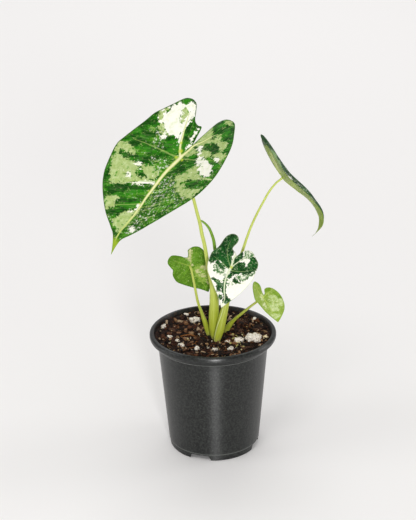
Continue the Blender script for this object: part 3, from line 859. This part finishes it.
channel_top = FOOT_HEIGHT + FLOOR
profile = [
    (0.0, FLOOR), (BOSS_RADIUS - 1.8, FLOOR), (BOSS_RADIUS - 1.2, channel_top), (inner_radius(channel_top), channel_top),
    (inner_radius(95.6), 95.6), (50.0, 100.6), (RIM_INNER, POT_HEIGHT - 0.5), (RIM_INNER + 0.5, POT_HEIGHT), (53.6, POT_HEIGHT),
    (RIM_RADIUS, POT_HEIGHT - 1.3), (RIM_RADIUS, 103.4), (54.3, 101.9), (52.0, 99.9), (COLLAR_RADIUS + 0.1, COLLAR_Z + 0.3), (WALL_TOP_RADIUS, 96.8),
    (WALL_FOOT_RADIUS + 0.1, FOOT_HEIGHT + 0.8), (FOOT_OUTER - 0.1, FOOT_HEIGHT + 0.2), (FOOT_OUTER - 0.4, 0.5), (FOOT_OUTER - 0.8, 0.0), (FOOT_INNER + 0.4, 0.0),
    (FOOT_INNER - 0.1, FOOT_HEIGHT), (BOSS_RADIUS + 0.6, FOOT_HEIGHT), (BOSS_RADIUS, 0.0), (0.0, 0.0),
]
outline = rounded(profile, {6: 0.5, 7: 0.5, 8: 1.0, 9: 1.2, 10: 1.2, 11: 1.0, 12: 1.2, 13: 0.5, 14: 0.8, 15: 0.3, 16: 0.3})
refined = []
for p, q in zip(outline[:-1], outline[1:]):
    pieces = max(1, int(np.hypot(q[0] - p[0], q[1] - p[1]) // 6.0))
    refined += [tuple(np.array(p) + (np.array(q) - np.array(p)) * k / pieces) for k in range(pieces)]
refined.append(outline[-1])

STEPS = 176
pot_vertices, pot_faces = [], []
index_of = []
for r, z in refined:
    if r < 1e-6:
        index_of.append([len(pot_vertices)] * STEPS)
        pot_vertices.append((0.0, 0.0, z))
    else:
        start = len(pot_vertices)
        for k in range(STEPS):
            turn = 2 * math.pi * k / STEPS
            pot_vertices.append((r * math.cos(turn), r * math.sin(turn), z))
        index_of.append(list(range(start, start + STEPS)))
for lower_ring, upper_ring in zip(index_of[:-1], index_of[1:]):
    for k in range(STEPS):
        n = (k + 1) % STEPS
        face = []
        for i in (lower_ring[k], lower_ring[n], upper_ring[n], upper_ring[k]):
            if i not in face:
                face.append(i)
        if len(face) > 2:
            pot_faces.append(tuple(face))


def pot_material():
    g = Graph("pot_plastic", 0.42, 0.4)
    g.bsdf.inputs["Anisotropic"].default_value = 0.85
    g.bsdf.inputs["Anisotropic Rotation"].default_value = 0.25
    place = g.place()
    grain = g.noise(place, 0.62, 3.0, 0.62)
    pebble = g.noise(place, 0.55, 2.0, 0.5)
    broad = g.noise(place, 0.045, 3.0, 0.6)
    col = g.mix(g.step(grain, 0.42, 0.60), rgb("050606"), rgb("1d1f1d"))
    col = g.mix(g.mul(g.step(broad, 0.45, 0.7), 0.25), col, rgb("1c1e1d"))
    fleck = g.step(g.noise(place, 0.95, 2.0, 0.5), 0.70, 0.76)
    col = g.mix(g.mul(fleck, 0.5), col, rgb("5f645f"))
    pits = g.step(g.noise(place, 0.5, 2.0, 0.5, 0.2), 0.36, 0.31)
    col = g.mix(g.mul(pits, 0.7), col, rgb("020202"))
    # a little soil dust along the inside of the rim and on the rim's top
    split = g.tree.nodes.new("ShaderNodeSeparateXYZ")
    g.tree.links.new(place, split.inputs[0])
    radial = g.math("SQRT", g.add(g.mul(split.outputs[0], split.outputs[0]), g.mul(split.outputs[1], split.outputs[1])))
    within = g.mul(g.step(radial, 52.4, 51.6), g.step(split.outputs[2], 101.2, 102.4))
    dust = g.mul(within, g.step(g.noise(place, 0.4, 4.0, 0.65), 0.45, 0.65))
    col = g.mix(g.mul(dust, 0.35), col, rgb("4a3524"))
    # rubbed edges: the collar's lower lip and the line above the foot
    height_at = split.outputs[2]
    lip = g.mul(g.mul(g.step(height_at, 96.5, 97.1), g.step(height_at, 98.5, 97.9)), g.step(radial, 49.6, 50.2))
    line = g.mul(g.mul(g.step(height_at, 5.0, 5.5), g.step(height_at, 6.9, 6.2)), g.step(radial, 39.0, 39.5))
    worn = g.add(0.55, g.mul(g.noise(place, 0.12, 3.0, 0.6), 0.5))
    col = g.mix(g.mul(g.mul(lip, worn), 0.85), col, rgb("70736f"))
    col = g.mix(g.mul(g.mul(line, worn), 0.5), col, rgb("5a5d59"))
    g.colour(col)
    g.rough(g.add(0.28, g.mul(g.noise(place, 0.7, 3.0, 0.6), 0.14)))
    height = g.add(g.mul(grain, 0.8), g.mul(pebble, 0.9))
    g.normal(g.bump(height, 0.0002, 0.25))
    return g.mat


pot = make("pot", pot_vertices, pot_faces, pot_material())
bm = bmesh.new()
bm.from_mesh(pot.data)
bmesh.ops.recalc_face_normals(bm, faces=bm.faces)
bm.to_mesh(pot.data)
bm.free()
cutters = []
for index in range(NOTCHES):
    turn = math.radians(NOTCH_FIRST + 360.0 / NOTCHES * index)
    outward = Vector((math.sin(turn), -math.cos(turn), 0.0))
    half = FOOT_OUTER * math.sin(math.radians(NOTCH_HALF))
    bm = bmesh.new()
    bmesh.ops.create_cube(bm, size=1.0)
    for vert in bm.verts:
        top = vert.co.z > 0
        vert.co = Vector((vert.co.x * 2 * (half - (1.6 if top else 0.0)), vert.co.y * 8.0, (FOOT_HEIGHT - 0.4) if top else -1.0))
    bmesh.ops.bevel(bm, geom=[e for e in bm.edges if abs((e.verts[0].co - e.verts[1].co).y) > 4 and e.verts[0].co.z > 0], offset=1.0, segments=4, profile=0.5, affect="EDGES")
    bm.transform(Matrix.Translation(outward * 38.0 * MM) @ Matrix.Rotation(turn, 4, "Z") @ Matrix.Scale(MM, 4))
    bmesh.ops.recalc_face_normals(bm, faces=bm.faces)
    mesh = bpy.data.meshes.new("cut")
    bm.to_mesh(mesh)
    bm.free()
    cutters.append(bpy.data.objects.new("cut", mesh))
    bm = bmesh.new()
    bmesh.ops.create_cone(bm, cap_ends=True, segments=32, radius1=DRAIN_RADIUS * MM, radius2=DRAIN_RADIUS * MM, depth=6 * MM)
    bm.transform(Matrix.Translation(outward * DRAIN_AT * MM + Vector((0.0, 0.0, (FOOT_HEIGHT + 1.0) * MM))))
    mesh = bpy.data.meshes.new("cut")
    bm.to_mesh(mesh)
    bm.free()
    cutters.append(bpy.data.objects.new("cut", mesh))
for cutter in cutters:
    scene.collection.objects.link(cutter)
    cut = pot.modifiers.new("cut", "BOOLEAN")
    cut.operation = "DIFFERENCE"
    cut.object = cutter
graph = bpy.context.evaluated_depsgraph_get()
finished = bpy.data.meshes.new_from_object(pot.evaluated_get(graph))
pot.modifiers.clear()
pot.data = finished
for cutter in cutters:
    bpy.data.objects.remove(cutter, do_unlink=True)
pot.data.shade_smooth()
pot.data.set_sharp_from_angle(angle=math.radians(40))
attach(pot, "root")
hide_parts("nursery_pot")

# ================================================================ the potting mix
rng = random.Random(41)


def mix_height(x, y):
    r = math.hypot(x, y)
    p = Vector((x, y, 0.0))
    h = SOIL_TOP + 0.6 + 0.9 * noise.noise(p * 0.07 + Vector((3.0, 1.0, 0.0))) + 1.1 * noise.noise(p * 0.22) + 0.7 * noise.noise(p * 0.55 + Vector((0.0, 9.0, 2.0)))
    h += 1.1 * max(0.0, (r - 40.0) / 10.0)
    return h


SURFACE = 50.3
step = 0.95
points, rows = [], []
ring_count = max(60, int(2 * math.pi * SURFACE / step))
for k in range(ring_count):
    turn = 2 * math.pi * k / ring_count
    points.append((SURFACE * math.cos(turn), SURFACE * math.sin(turn)))
y = -SURFACE
row = 0
while y < SURFACE:
    x = -SURFACE + (step / 2 if row % 2 else 0.0)
    while x < SURFACE:
        if x * x + y * y < (SURFACE - step * 0.7) ** 2:
            points.append((x, y))
        x += step
    y += step * 0.866
    row += 1
made = geometry.delaunay_2d_cdt([Vector(p) for p in points], [(k, (k + 1) % ring_count) for k in range(ring_count)], [list(range(ring_count))], 1, 1e-5)
flat = [tuple(v) for v in made[0]]
ground = []
for x, y in flat:
    h = mix_height(x, y)
    p = Vector((x, y, 0.0))
    h += 0.8 * abs(noise.noise(p * 0.9)) + 0.35 * noise.noise(p * 2.2)
    ground.append((x, y, h))
ground_faces = [tuple(f) if Vector((flat[f[1]][0] - flat[f[0]][0], flat[f[1]][1] - flat[f[0]][1], 0)).cross(Vector((flat[f[2]][0] - flat[f[0]][0], flat[f[2]][1] - flat[f[0]][1], 0))).z > 0 else tuple(reversed(f)) for f in made[2]]
edge_count = {}
for f in ground_faces:
    for i, j in zip(f, f[1:] + f[:1]):
        edge_count[(i, j)] = 1
skirt = []
down = {}
for i, j in list(edge_count):
    if (j, i) in edge_count:
        continue
    for q in (i, j):
        if q not in down:
            down[q] = len(ground)
            x, y, _ = ground[q]
            ground.append((x * 0.9, y * 0.9, 92.0))
    skirt.append((j, i, down[i], down[j]))
bottom_centre = len(ground)
ground.append((0.0, 0.0, 92.0))
skirt += [(f[3], f[2], bottom_centre) for f in skirt]


def earth_material(name, tint=None):
    g = Graph(name, 0.85, 0.25)
    place = g.place()
    fine = g.noise(place, 1.1, 5.0, 0.72)
    col = g.ramp(fine, [(0.30, rgb("070403")), (0.47, rgb("150b07")), (0.57, rgb("2c190e")), (0.68, rgb("5a361f")), (0.80, rgb("8e6742"))])
    red = g.step(g.noise(place, 0.32, 3.0, 0.6), 0.5, 0.68)
    col = g.mix(g.mul(red, 0.35), col, rgb("5a2f1a"))
    if tint:
        col = g.mix(g.add(0.78, g.mul(g.sub(fine, 0.5), 0.8)), col, g.attribute_colour(tint))
    g.colour(col)
    g.normal(g.bump(g.noise(place, 2.4, 4.0, 0.7), 0.0006, 0.8))
    return g.mat


earth = earth_material("potting_mix")
mix_surface = make("potting_mix_surface", ground, ground_faces + skirt, earth)
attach(mix_surface, "root")
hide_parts("potting_soil")

# stalk places at the mix's surface, kept clear of loose pieces
STALKS = [(p[2][0], p[2][1], p[2][3]) for key, p in PETIOLES.items() if key != "petiole_centre"] + [(YOUNG_LEAF[1][0], YOUNG_LEAF[1][1], YOUNG_LEAF[1][3])]


def near_stalk(x, y, room):
    return any(math.hypot(x - sx, y - sy) < sr + room for sx, sy, sr in STALKS)


def lump(subdivisions, half, rough, detail, seed, cut_flat=0.0):
    """Vertices and faces of one irregular grain centred on the origin."""
    bm = bmesh.new()
    bmesh.ops.create_icosphere(bm, subdivisions=subdivisions, radius=1.0)
    shift = Vector((seed * 3.7, seed * 1.3, seed * 7.1))
    for vert in bm.verts:
        swell = 1.0 + rough * noise.noise(vert.co * detail + shift) + 0.5 * rough * noise.noise(vert.co * detail * 2.3 + shift)
        p = vert.co * swell
        if cut_flat:
            p = Vector(tuple(max(-cut_flat, min(cut_flat, c)) for c in p))
        vert.co = Vector((p.x * half[0], p.y * half[1], p.z * half[2]))
    vertices = [tuple(v.co) for v in bm.verts]
    faces = [tuple(v.index for v in f.verts) for f in bm.faces]
    bm.free()
    return vertices, faces


class Heap:
    """Many grains gathered in one mesh, with a colour for each."""

    def __init__(self):
        self.vertices, self.faces, self.colours = [], [], []

    def put(self, shape, matrix, colour):
        vertices, faces = shape
        start = len(self.vertices)
        for v in vertices:
            self.vertices.append(tuple(matrix @ Vector(v)))
        self.faces += [tuple(i + start for i in f) for f in faces]
        self.colours += [colour] * len(vertices)


BARK_TONES = ["23120a", "3a1d10", "120905", "4a2916", "62391f", "0a0503", "1b0e08", "7c5335", "381c10", "8a6546", "0e0704", "4c2816", "0a0503", "5e3820", "0a0503", "9c7a58", "b59a7c"]
crumbs = Heap()
templates = [lump(1, (1.0, 1.0, 1.0), 0.75, 1.4, 20 + k, 0.78) for k in range(14)]
fine_templates = [lump(2, (1.0, 1.0, 1.0), 0.7, 1.6, 60 + k, 0.76) for k in range(10)]
number = 1600
placed = 0
while placed < number:
    radius = 48.6 * math.sqrt(rng.random())
    turn = rng.random() * 2 * math.pi
    x, y = radius * math.cos(turn), radius * math.sin(turn)
    size = min(4.0, 0.74 * math.exp(rng.gauss(0.42, 0.45)))
    if near_stalk(x, y, size * 0.55) or radius + size > 49.9:
        continue
    long = rng.random() < 0.45
    shape = (size * (1.45 if long else 1.0), size * (0.5 if long else 0.8), size * rng.uniform(0.35, 0.7))
    matrix = Matrix.Translation((x, y, mix_height(x, y) + shape[2] * rng.uniform(0.1, 0.7) + rng.uniform(-0.2, 1.7))) @ Matrix.Rotation(rng.uniform(0, 6.283), 4, "Z") @ Matrix.Rotation(rng.gauss(0, 0.32), 4, "Y") @ Matrix.Rotation(rng.gauss(0, 0.28), 4, "X") @ Matrix.Diagonal((*shape, 1.0))
    tone = np.array(rgb(rng.choice(BARK_TONES)))
    tone[:3] *= rng.uniform(0.8, 1.25)
    crumbs.put(rng.choice(fine_templates if size > 2.1 else templates), matrix, tuple(tone))
    placed += 1
crumb_piece = make("potting_mix_crumbs", crumbs.vertices, crumbs.faces, earth_material("potting_crumbs", "tone"), False, None, {"tone": crumbs.colours})
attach(crumb_piece, "root")

# ---------------------------------------------------------------- bark chips
chips = Heap()
for index, (x, y, hx, hy, hz, turn, tilt) in enumerate(BARK):
    bm = bmesh.new()
    bmesh.ops.create_cube(bm, size=2.0)
    bmesh.ops.subdivide_edges(bm, edges=bm.edges, cuts=5, use_grid_fill=True)
    shift = Vector((index * 5.1, 2.0, 1.0))
    for vert in bm.verts:
        p = vert.co.copy()
        round_off = 1.0 - 0.12 * (p.y * p.y + p.z * p.z) - 0.10 * abs(p.x) ** 3
        ragged = 1.0 + 0.22 * noise.noise(Vector((p.x * 0.6, p.y * 2.6, p.z * 2.6)) + shift) + 0.14 * noise.noise(p * 3.0 + shift)
        vert.co = Vector((p.x * hx * (1.0 + 0.16 * noise.noise(Vector((0.0, p.y * 2.2, p.z * 2.0)) + shift)), p.y * hy * round_off * ragged, p.z * hz * round_off * ragged))
    shape = ([tuple(v.co) for v in bm.verts], [tuple(v.index for v in f.verts) for f in bm.faces])
    bm.free()
    matrix = Matrix.Translation((x, y, mix_height(x, y) + hz * 0.75)) @ Matrix.Rotation(math.radians(turn), 4, "Z") @ Matrix.Rotation(math.radians(tilt), 4, "Y")
    chips.put(shape, matrix, (1, 1, 1, 1))


def bark_material():
    g = Graph("bark_chips", 0.8, 0.25)
    place = g.place()
    grain = g.noise(place, 0.9, 5.0, 0.7)
    col = g.ramp(grain, [(0.32, rgb("1c0f08")), (0.5, rgb("452a18")), (0.62, rgb("6d472a")), (0.78, rgb("99704a"))])
    g.colour(col)
    g.normal(g.bump(g.noise(place, 1.6, 5.0, 0.7), 0.0006, 0.9))
    return g.mat


bark = make("bark_chips", chips.vertices, chips.faces, bark_material(), False)
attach(bark, "root")
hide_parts(*["bark_chip_%02d" % (i + 1) for i in range(len(BARK))])

# ---------------------------------------------------------------- perlite
grains = Heap()
for index, (x, y, hx, hy, hz, turn) in enumerate(PERLITE):
    shape = lump(4, (hx * 1.08, hy * 1.08, hz), 0.6, 1.6, 90 + index, 1.04)
    matrix = Matrix.Translation((x, y, mix_height(x, y) + hz * 0.55 + 0.2)) @ Matrix.Rotation(math.radians(turn), 4, "Z")
    grains.put(shape, matrix, (1.0, 1.0, 1.0, 1.0) if index not in (8,) else (0.93, 0.85, 0.62, 1.0))
# the knob on the largest grain
grains.put(lump(3, (2.1, 1.9, 2.4), 0.3, 1.8, 130), Matrix.Translation((36.0, -10.6, mix_height(36.0, -10.6) + 4.4)), (1, 1, 1, 1))
dots = 0
while dots < (104):
    radius = 48.0 * math.sqrt(rng.random())
    turn = rng.random() * 2 * math.pi
    x, y = radius * math.cos(turn), radius * math.sin(turn)
    size = min(1.5, 0.42 * math.exp(rng.gauss(0.25, 0.45)))
    if near_stalk(x, y, size):
        continue
    shape = lump(2, (size * rng.uniform(0.9, 1.3), size, size * rng.uniform(0.6, 0.9)), 0.75, 1.6, 200 + dots, 0.85)
    matrix = Matrix.Translation((x, y, mix_height(x, y) + size * 0.4 + 0.7)) @ Matrix.Rotation(rng.uniform(0, 6.28), 4, "Z")
    tone = rng.choice([(1.0, 0.96, 0.9, 1.0), (0.80, 0.70, 0.42, 1.0), (0.9, 0.82, 0.7, 1.0), (0.62, 0.45, 0.28, 1.0), (0.72, 0.56, 0.36, 1.0)])
    grains.put(shape, matrix, tone)
    dots += 1
for k in range(44):
    x, y = rng.gauss(18.5, 4.5), rng.gauss(-15.0, 6.0)
    size = rng.uniform(0.45, 1.05)
    if near_stalk(x, y, size):
        continue
    shape = lump(2, (size * 1.2, size, size * 0.8), 0.6, 1.6, 400 + k, 0.85)
    grains.put(shape, Matrix.Translation((x, y, mix_height(x, y) + size * 0.5 + 1.2)), rng.choice([(0.72, 0.70, 0.30, 1.0), (0.62, 0.60, 0.22, 1.0), (0.85, 0.80, 0.50, 1.0)]))


def perlite_material():
    g = Graph("perlite", 0.85, 0.3)
    place = g.place()
    col = g.mix(g.step(g.noise(place, 0.8, 4.0, 0.65), 0.42, 0.66), rgb("f6f1e6"), rgb("d9c9b4"))
    pits = g.step(g.cells(place, 1.6), 0.16, 0.05)
    col = g.mix(g.mul(pits, 0.55), col, rgb("8a745c"))
    tint = g.tree.nodes.new("ShaderNodeMix")
    tint.data_type = "RGBA"
    tint.blend_type = "MULTIPLY"
    tint.inputs[0].default_value = 1.0
    g.tree.links.new(col, tint.inputs[6])
    g.tree.links.new(g.attribute_colour("tone"), tint.inputs[7])
    dirt = g.step(g.noise(place, 0.5, 4.0, 0.7), 0.52, 0.62)
    col = g.mix(g.mul(dirt, 0.75), tint.outputs[2], rgb("6b4a30"))
    g.colour(col)
    g.normal(g.bump(g.noise(place, 2.2, 4.0, 0.7), 0.0005, 0.8))
    return g.mat


perlite = make("perlite", grains.vertices, grains.faces, perlite_material(), True, None, {"tone": grains.colours})
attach(perlite, "root")
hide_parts(*["perlite_%02d" % (i + 1) for i in range(len(PERLITE))])

# ---------------------------------------------------------------- coir fibre
fibre_vertices, fibre_faces = [], []
strands = [[(x, y, mix_height(x, y) + 2.2 + 0.5 * math.sin(k * 1.7), 0.42) for k, (x, y) in enumerate(FIBRE)]]
for k in range(12):
    turn = rng.uniform(0, 6.28)
    radius = rng.uniform(12, 42)
    x, y = radius * math.cos(turn), radius * math.sin(turn)
    heading = rng.uniform(0, 6.28)
    strand = []
    for n in range(4):
        strand.append((x, y, mix_height(x, y) + 1.5 + rng.uniform(0.0, 0.8), rng.uniform(0.12, 0.22)))
        heading += rng.uniform(-0.6, 0.6)
        x, y = x + 2.4 * math.cos(heading), y + 2.4 * math.sin(heading)
    if all(math.hypot(p[0], p[1]) < 47 and not near_stalk(p[0], p[1], 1.0) for p in strand):
        strands.append(strand)
for strand in strands:
    vertices, faces, _, _ = tube(smooth_points(strand, 6), 8)
    start = len(fibre_vertices)
    fibre_vertices += [tuple(v) for v in vertices]
    fibre_faces += [tuple(i + start for i in f) for f in faces]
g = Graph("coir", 0.8, 0.25)
g.colour(g.mix(g.noise(g.place(), 0.8, 3.0, 0.6), rgb("5c3217"), rgb("a2672f")))
fibre = make("coir_fibres", fibre_vertices, fibre_faces, g.mat)
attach(fibre, "root")
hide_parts("coir_fibre")

# ================================================================ stalks
GREEN_STALK = stalk_material("petiole_green", "c0cc60", "a0aa2e", "cdd474", "b0ab62")
YOUNG_STALK = stalk_material("young_green", "6f9a1e", "86a633", "93b440", "c3cf92")


def squash_for(name):
    def shape(walked, total, angles):
        low = max(0.0, 1.0 - walked / (total * 0.35))
        # an open sheath: a shallow groove down one side, fading into a round stalk
        groove = np.exp(-((np.angle(np.exp(1j * (angles - 2.2))) / 0.35) ** 2))
        return 1.0 - 0.16 * low * groove + 0.012 * np.sin(angles * 9.0) * (0.4 + low)

    return shape


for name, path in list(PETIOLES.items()) + [("young_rolled_leaf", YOUNG_LEAF)]:
    fuller = 0.3 if name in ("petiole_large", "petiole_side") else 0.0
    path = [(x, y, z, r + fuller * max(0.0, 1.0 - abs(z - 118.0) / 30.0)) for x, y, z, r in path]
    if name == "petiole_side":
        path = [(x, y, z, r * (0.86 if z > 190.0 else 1.0)) for x, y, z, r in path]
    vertices, faces, along, turn = tube(smooth_points(path, 7), 28, squash_for(name))
    vertices, faces = [tuple(v) for v in vertices], list(faces)
    turn = list(turn)
    pale = [0.0] * len(vertices)
    if name == "petiole_side":
        more, more_faces, _, _ = tube(smooth_points(SHEATH_EDGE, 6), 10)
        start = len(vertices)
        vertices += [tuple(v) for v in more]
        faces += [tuple(i + start for i in f) for f in more_faces]
        turn += [0.0] * len(more)
        pale += [0.45] * len(more)
    piece = make(name + "_skin", vertices, faces, YOUNG_STALK if name.startswith("young") else GREEN_STALK, True, {"height": [v[2] for v in vertices], "turn": turn, "pale": pale})
    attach(piece, "root")
    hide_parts(name)

# ================================================================ leaves
GREENS = dict(green="1b5208", green2="488a1a", sage="a1b66c", sage2="b8c88c", white="f4f2e6", white2="e4e8cc", dark="0f4405", dark2="2e7c12", vein="ece8b8", vein_side="c2cf74", vein_end="a3bc48", halo="6a9a3e", spot="bccb3c", margin="184e0a", hair="7a9c3c", tip="93ae2c", mottle=0.028, more_sage=1.5, tip_at=0.84, tip_on=1.0, marble=0.68, lateral=0.5, lateral_green="7fae22")
UNDER = dict(green="74934c", green2="86a55e", sage="b1c488", sage2="becd9c", white="e6e7d0", white2="d8ddb8", dark="648244", dark2="71904e", vein="d0da94", vein_side="bccb80", vein_end="b4c678", halo="9cb26a", spot="c3d27a", margin="4f7a26", hair="5d8430", tip="86a04a")
LEAF_LOOKS = {
    "leaf_blade_large": (GREENS, UNDER, "leaf_large", 1.0, 1.0),
    "leaf_blade_side": (dict(GREENS, green="123f14", green2="245a22", sage="7f9e66", sage2="90ac78", dark="0e3811", dark2="1a4f1c", margin="123e14", marble=0.75, tip="8a9c4c", tip_at=0.78, tip_on=0.6, margin_wide=4.5, margin_rag=26.0, margin_scale=0.11, margin_on=0.92, lobe_dark=-30.5, more_sage=0.4), dict(UNDER, green="7b9238", green2="93a94a", sage="a6b85e", sage2="b5c670", white="c6cf8c", white2="b8c67e", dark="748c34", dark2="889e42", vein="ccd682", vein_side="b5c464", vein_end="c0cc78", halo="9eb25a", margin="869c40", tip="a0ae5a"), "leaf_side", 0.8, 1.2),
    "leaf_blade_centre": (dict(GREENS, green="0f3b14", green2="266427", dark="0c3812", dark2="1b571f", sage="93ab80", sage2="b9c8a8", white="f6f3e8", white2="f0eedf", vein="eceed6", vein_side="d3dcb4", vein_end="e4e8cc", margin="d5dfba", margin_on=0.1, halo="7fa06c", main=0.8, fleck=0.7, fleck_at=0.565, more_dark=0.75, islands=0.51, glints=0.47, tip="e8ead4", tip_on=0.5), UNDER, "leaf_centre", 0.6, 1.3),
    "leaf_blade_left": (dict(GREENS, green="2f6a14", green2="3c7a1e", main=0.8), dict(UNDER, green="547f1f", green2="6c9a30", sage="8fb048", sage2="9fbc58", white="d3d09c", white2="bcc67e", dark="44721a", dark2="538424", vein="a3ba52", vein_side="8fab44", vein_end="8fab44", halo="759a34", margin="4c781e", hair="9cb864", tip="5d8a28", blur=0.5, islands=0.52), "leaf_left", 0.85, 1.5),
    "leaf_blade_right": (dict(GREENS, green="88a240", green2="9ab250", sage="b4c680", sage2="c2d19a", white="dde3b4", white2="d0d99c", dark="6c9024", dark2="7c9e30", vein="c4d16e", vein_side="b2c45e", vein_end="b2c45e", halo="a6be50", spot="cbd878", margin="789a2e", hair="bccd74", main=0.7, marble=0.7, fleck=0.4, blur=0.7, islands=0.54, glints=0.44, tip="8eab3c"), dict(UNDER, green="9bb250", green2="8ea944"), "leaf_right", 0.7, 1.3),
}
for name, leaf in LEAVES.items():
    top, under, slot_name, ragged, grain = LEAF_LOOKS[name]
    surface = leaf_material(slot_name, top, under, leaf["point"][0], 0.42, ragged, grain)
    piece = build_leaf(name + "_skin", leaf, surface, 0.34 if name == "leaf_blade_large" else 0.3)
    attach(piece, "root")
    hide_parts(name)

# ---------------------------------------------------------------- the corm, buried in the mix
g = Graph("corm_skin", 0.8, 0.3)
g.colour(g.mix(g.noise(g.place(), 0.35, 4.0, 0.6), rgb("5a3a22"), rgb("a98a62")))
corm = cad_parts["corm_with_roots"]
corm.data.materials.clear()
corm.data.materials.append(g.mat)

# ================================================================ floor, light and camera
bpy.ops.mesh.primitive_plane_add(size=16.0, location=(0.0, 2.0, -0.0002))
floor = bpy.context.object
floor.name = "backdrop"
g = Graph("backdrop_paper", 0.9, 0.1)
g.colour(rgb("f2f0ef"))
floor.data.materials.clear()
floor.data.materials.append(g.mat)


def area(name, at, target, size, power, colour=(1.0, 1.0, 1.0), size_y=None):
    light = bpy.data.lights.new(name, "AREA")
    light.shape = "RECTANGLE"
    light.size = size
    light.size_y = size_y or size
    light.energy = power
    light.color = colour
    obj = bpy.data.objects.new(name, light)
    scene.collection.objects.link(obj)
    obj.location = at
    obj.rotation_euler = (Vector(target) - Vector(at)).to_track_quat("-Z", "Y").to_euler()
    return obj


area("key", (-0.5, -1.2, 2.0), (0.0, 0.0, 0.15), 0.7, 8.0, (1.0, 0.99, 0.97))
area("front", (0.27, -1.9, 0.55), (0.0, 0.0, 0.12), 0.2, 19.0, size_y=0.7)
strip = area("pot_strip", (0.05, -1.75, 0.3), (0.0, 0.0, 0.06), 0.3, 27.0, size_y=0.5)
edge_left = area("pot_edge_left", (-1.5, 0.1, 0.25), (0.0, 0.0, 0.06), 0.5, 2.4)
edge_right = area("pot_edge_right", (1.5, 0.2, 0.25), (0.0, 0.0, 0.06), 0.5, 3.2)
pot_only = bpy.data.collections.new("pot_only")
pot_only.objects.link(pot)
for lamp in (strip, edge_left, edge_right):
    lamp.light_linking.receiver_collection = pot_only
area("left", (-1.6, -0.3, 1.0), (0.0, 0.0, 0.15), 0.8, 5.0)
area("right", (1.7, 0.4, 1.0), (0.0, 0.0, 0.15), 0.8, 5.0)
area("back", (0.0, 2.2, 2.2), (0.0, 2.4, 0.0), 2.6, 34.0)
world = bpy.data.worlds.new("studio")
world.use_nodes = True
world.node_tree.nodes["Background"].inputs["Color"].default_value = (1.0, 1.0, 1.0, 1.0)
world.node_tree.nodes["Background"].inputs["Strength"].default_value = 0.47
scene.world = world

elevation = math.radians(22.61)
roll = math.radians(0.86)
side = Vector((1.0, 0.0, 0.0))
rise = Vector((0.0, math.sin(elevation), math.cos(elevation)))
ahead = Vector((0.0, math.cos(elevation), -math.sin(elevation)))
x_axis = side * math.cos(roll) - rise * math.sin(roll)
y_axis = side * math.sin(roll) + rise * math.cos(roll)
camera_data = bpy.data.cameras.new("camera")
camera_data.sensor_width = 36.0
camera_data.lens = 97.73
camera_data.clip_end = 60.0
camera = bpy.data.objects.new("camera", camera_data)
scene.collection.objects.link(camera)
camera.matrix_world = Matrix.Translation((-0.00326, -1.10777, 0.63474)) @ Matrix((x_axis, y_axis, -ahead)).transposed().to_4x4()
scene.camera = camera
scene.view_settings.view_transform = "Standard"
scene.view_settings.look = "None"
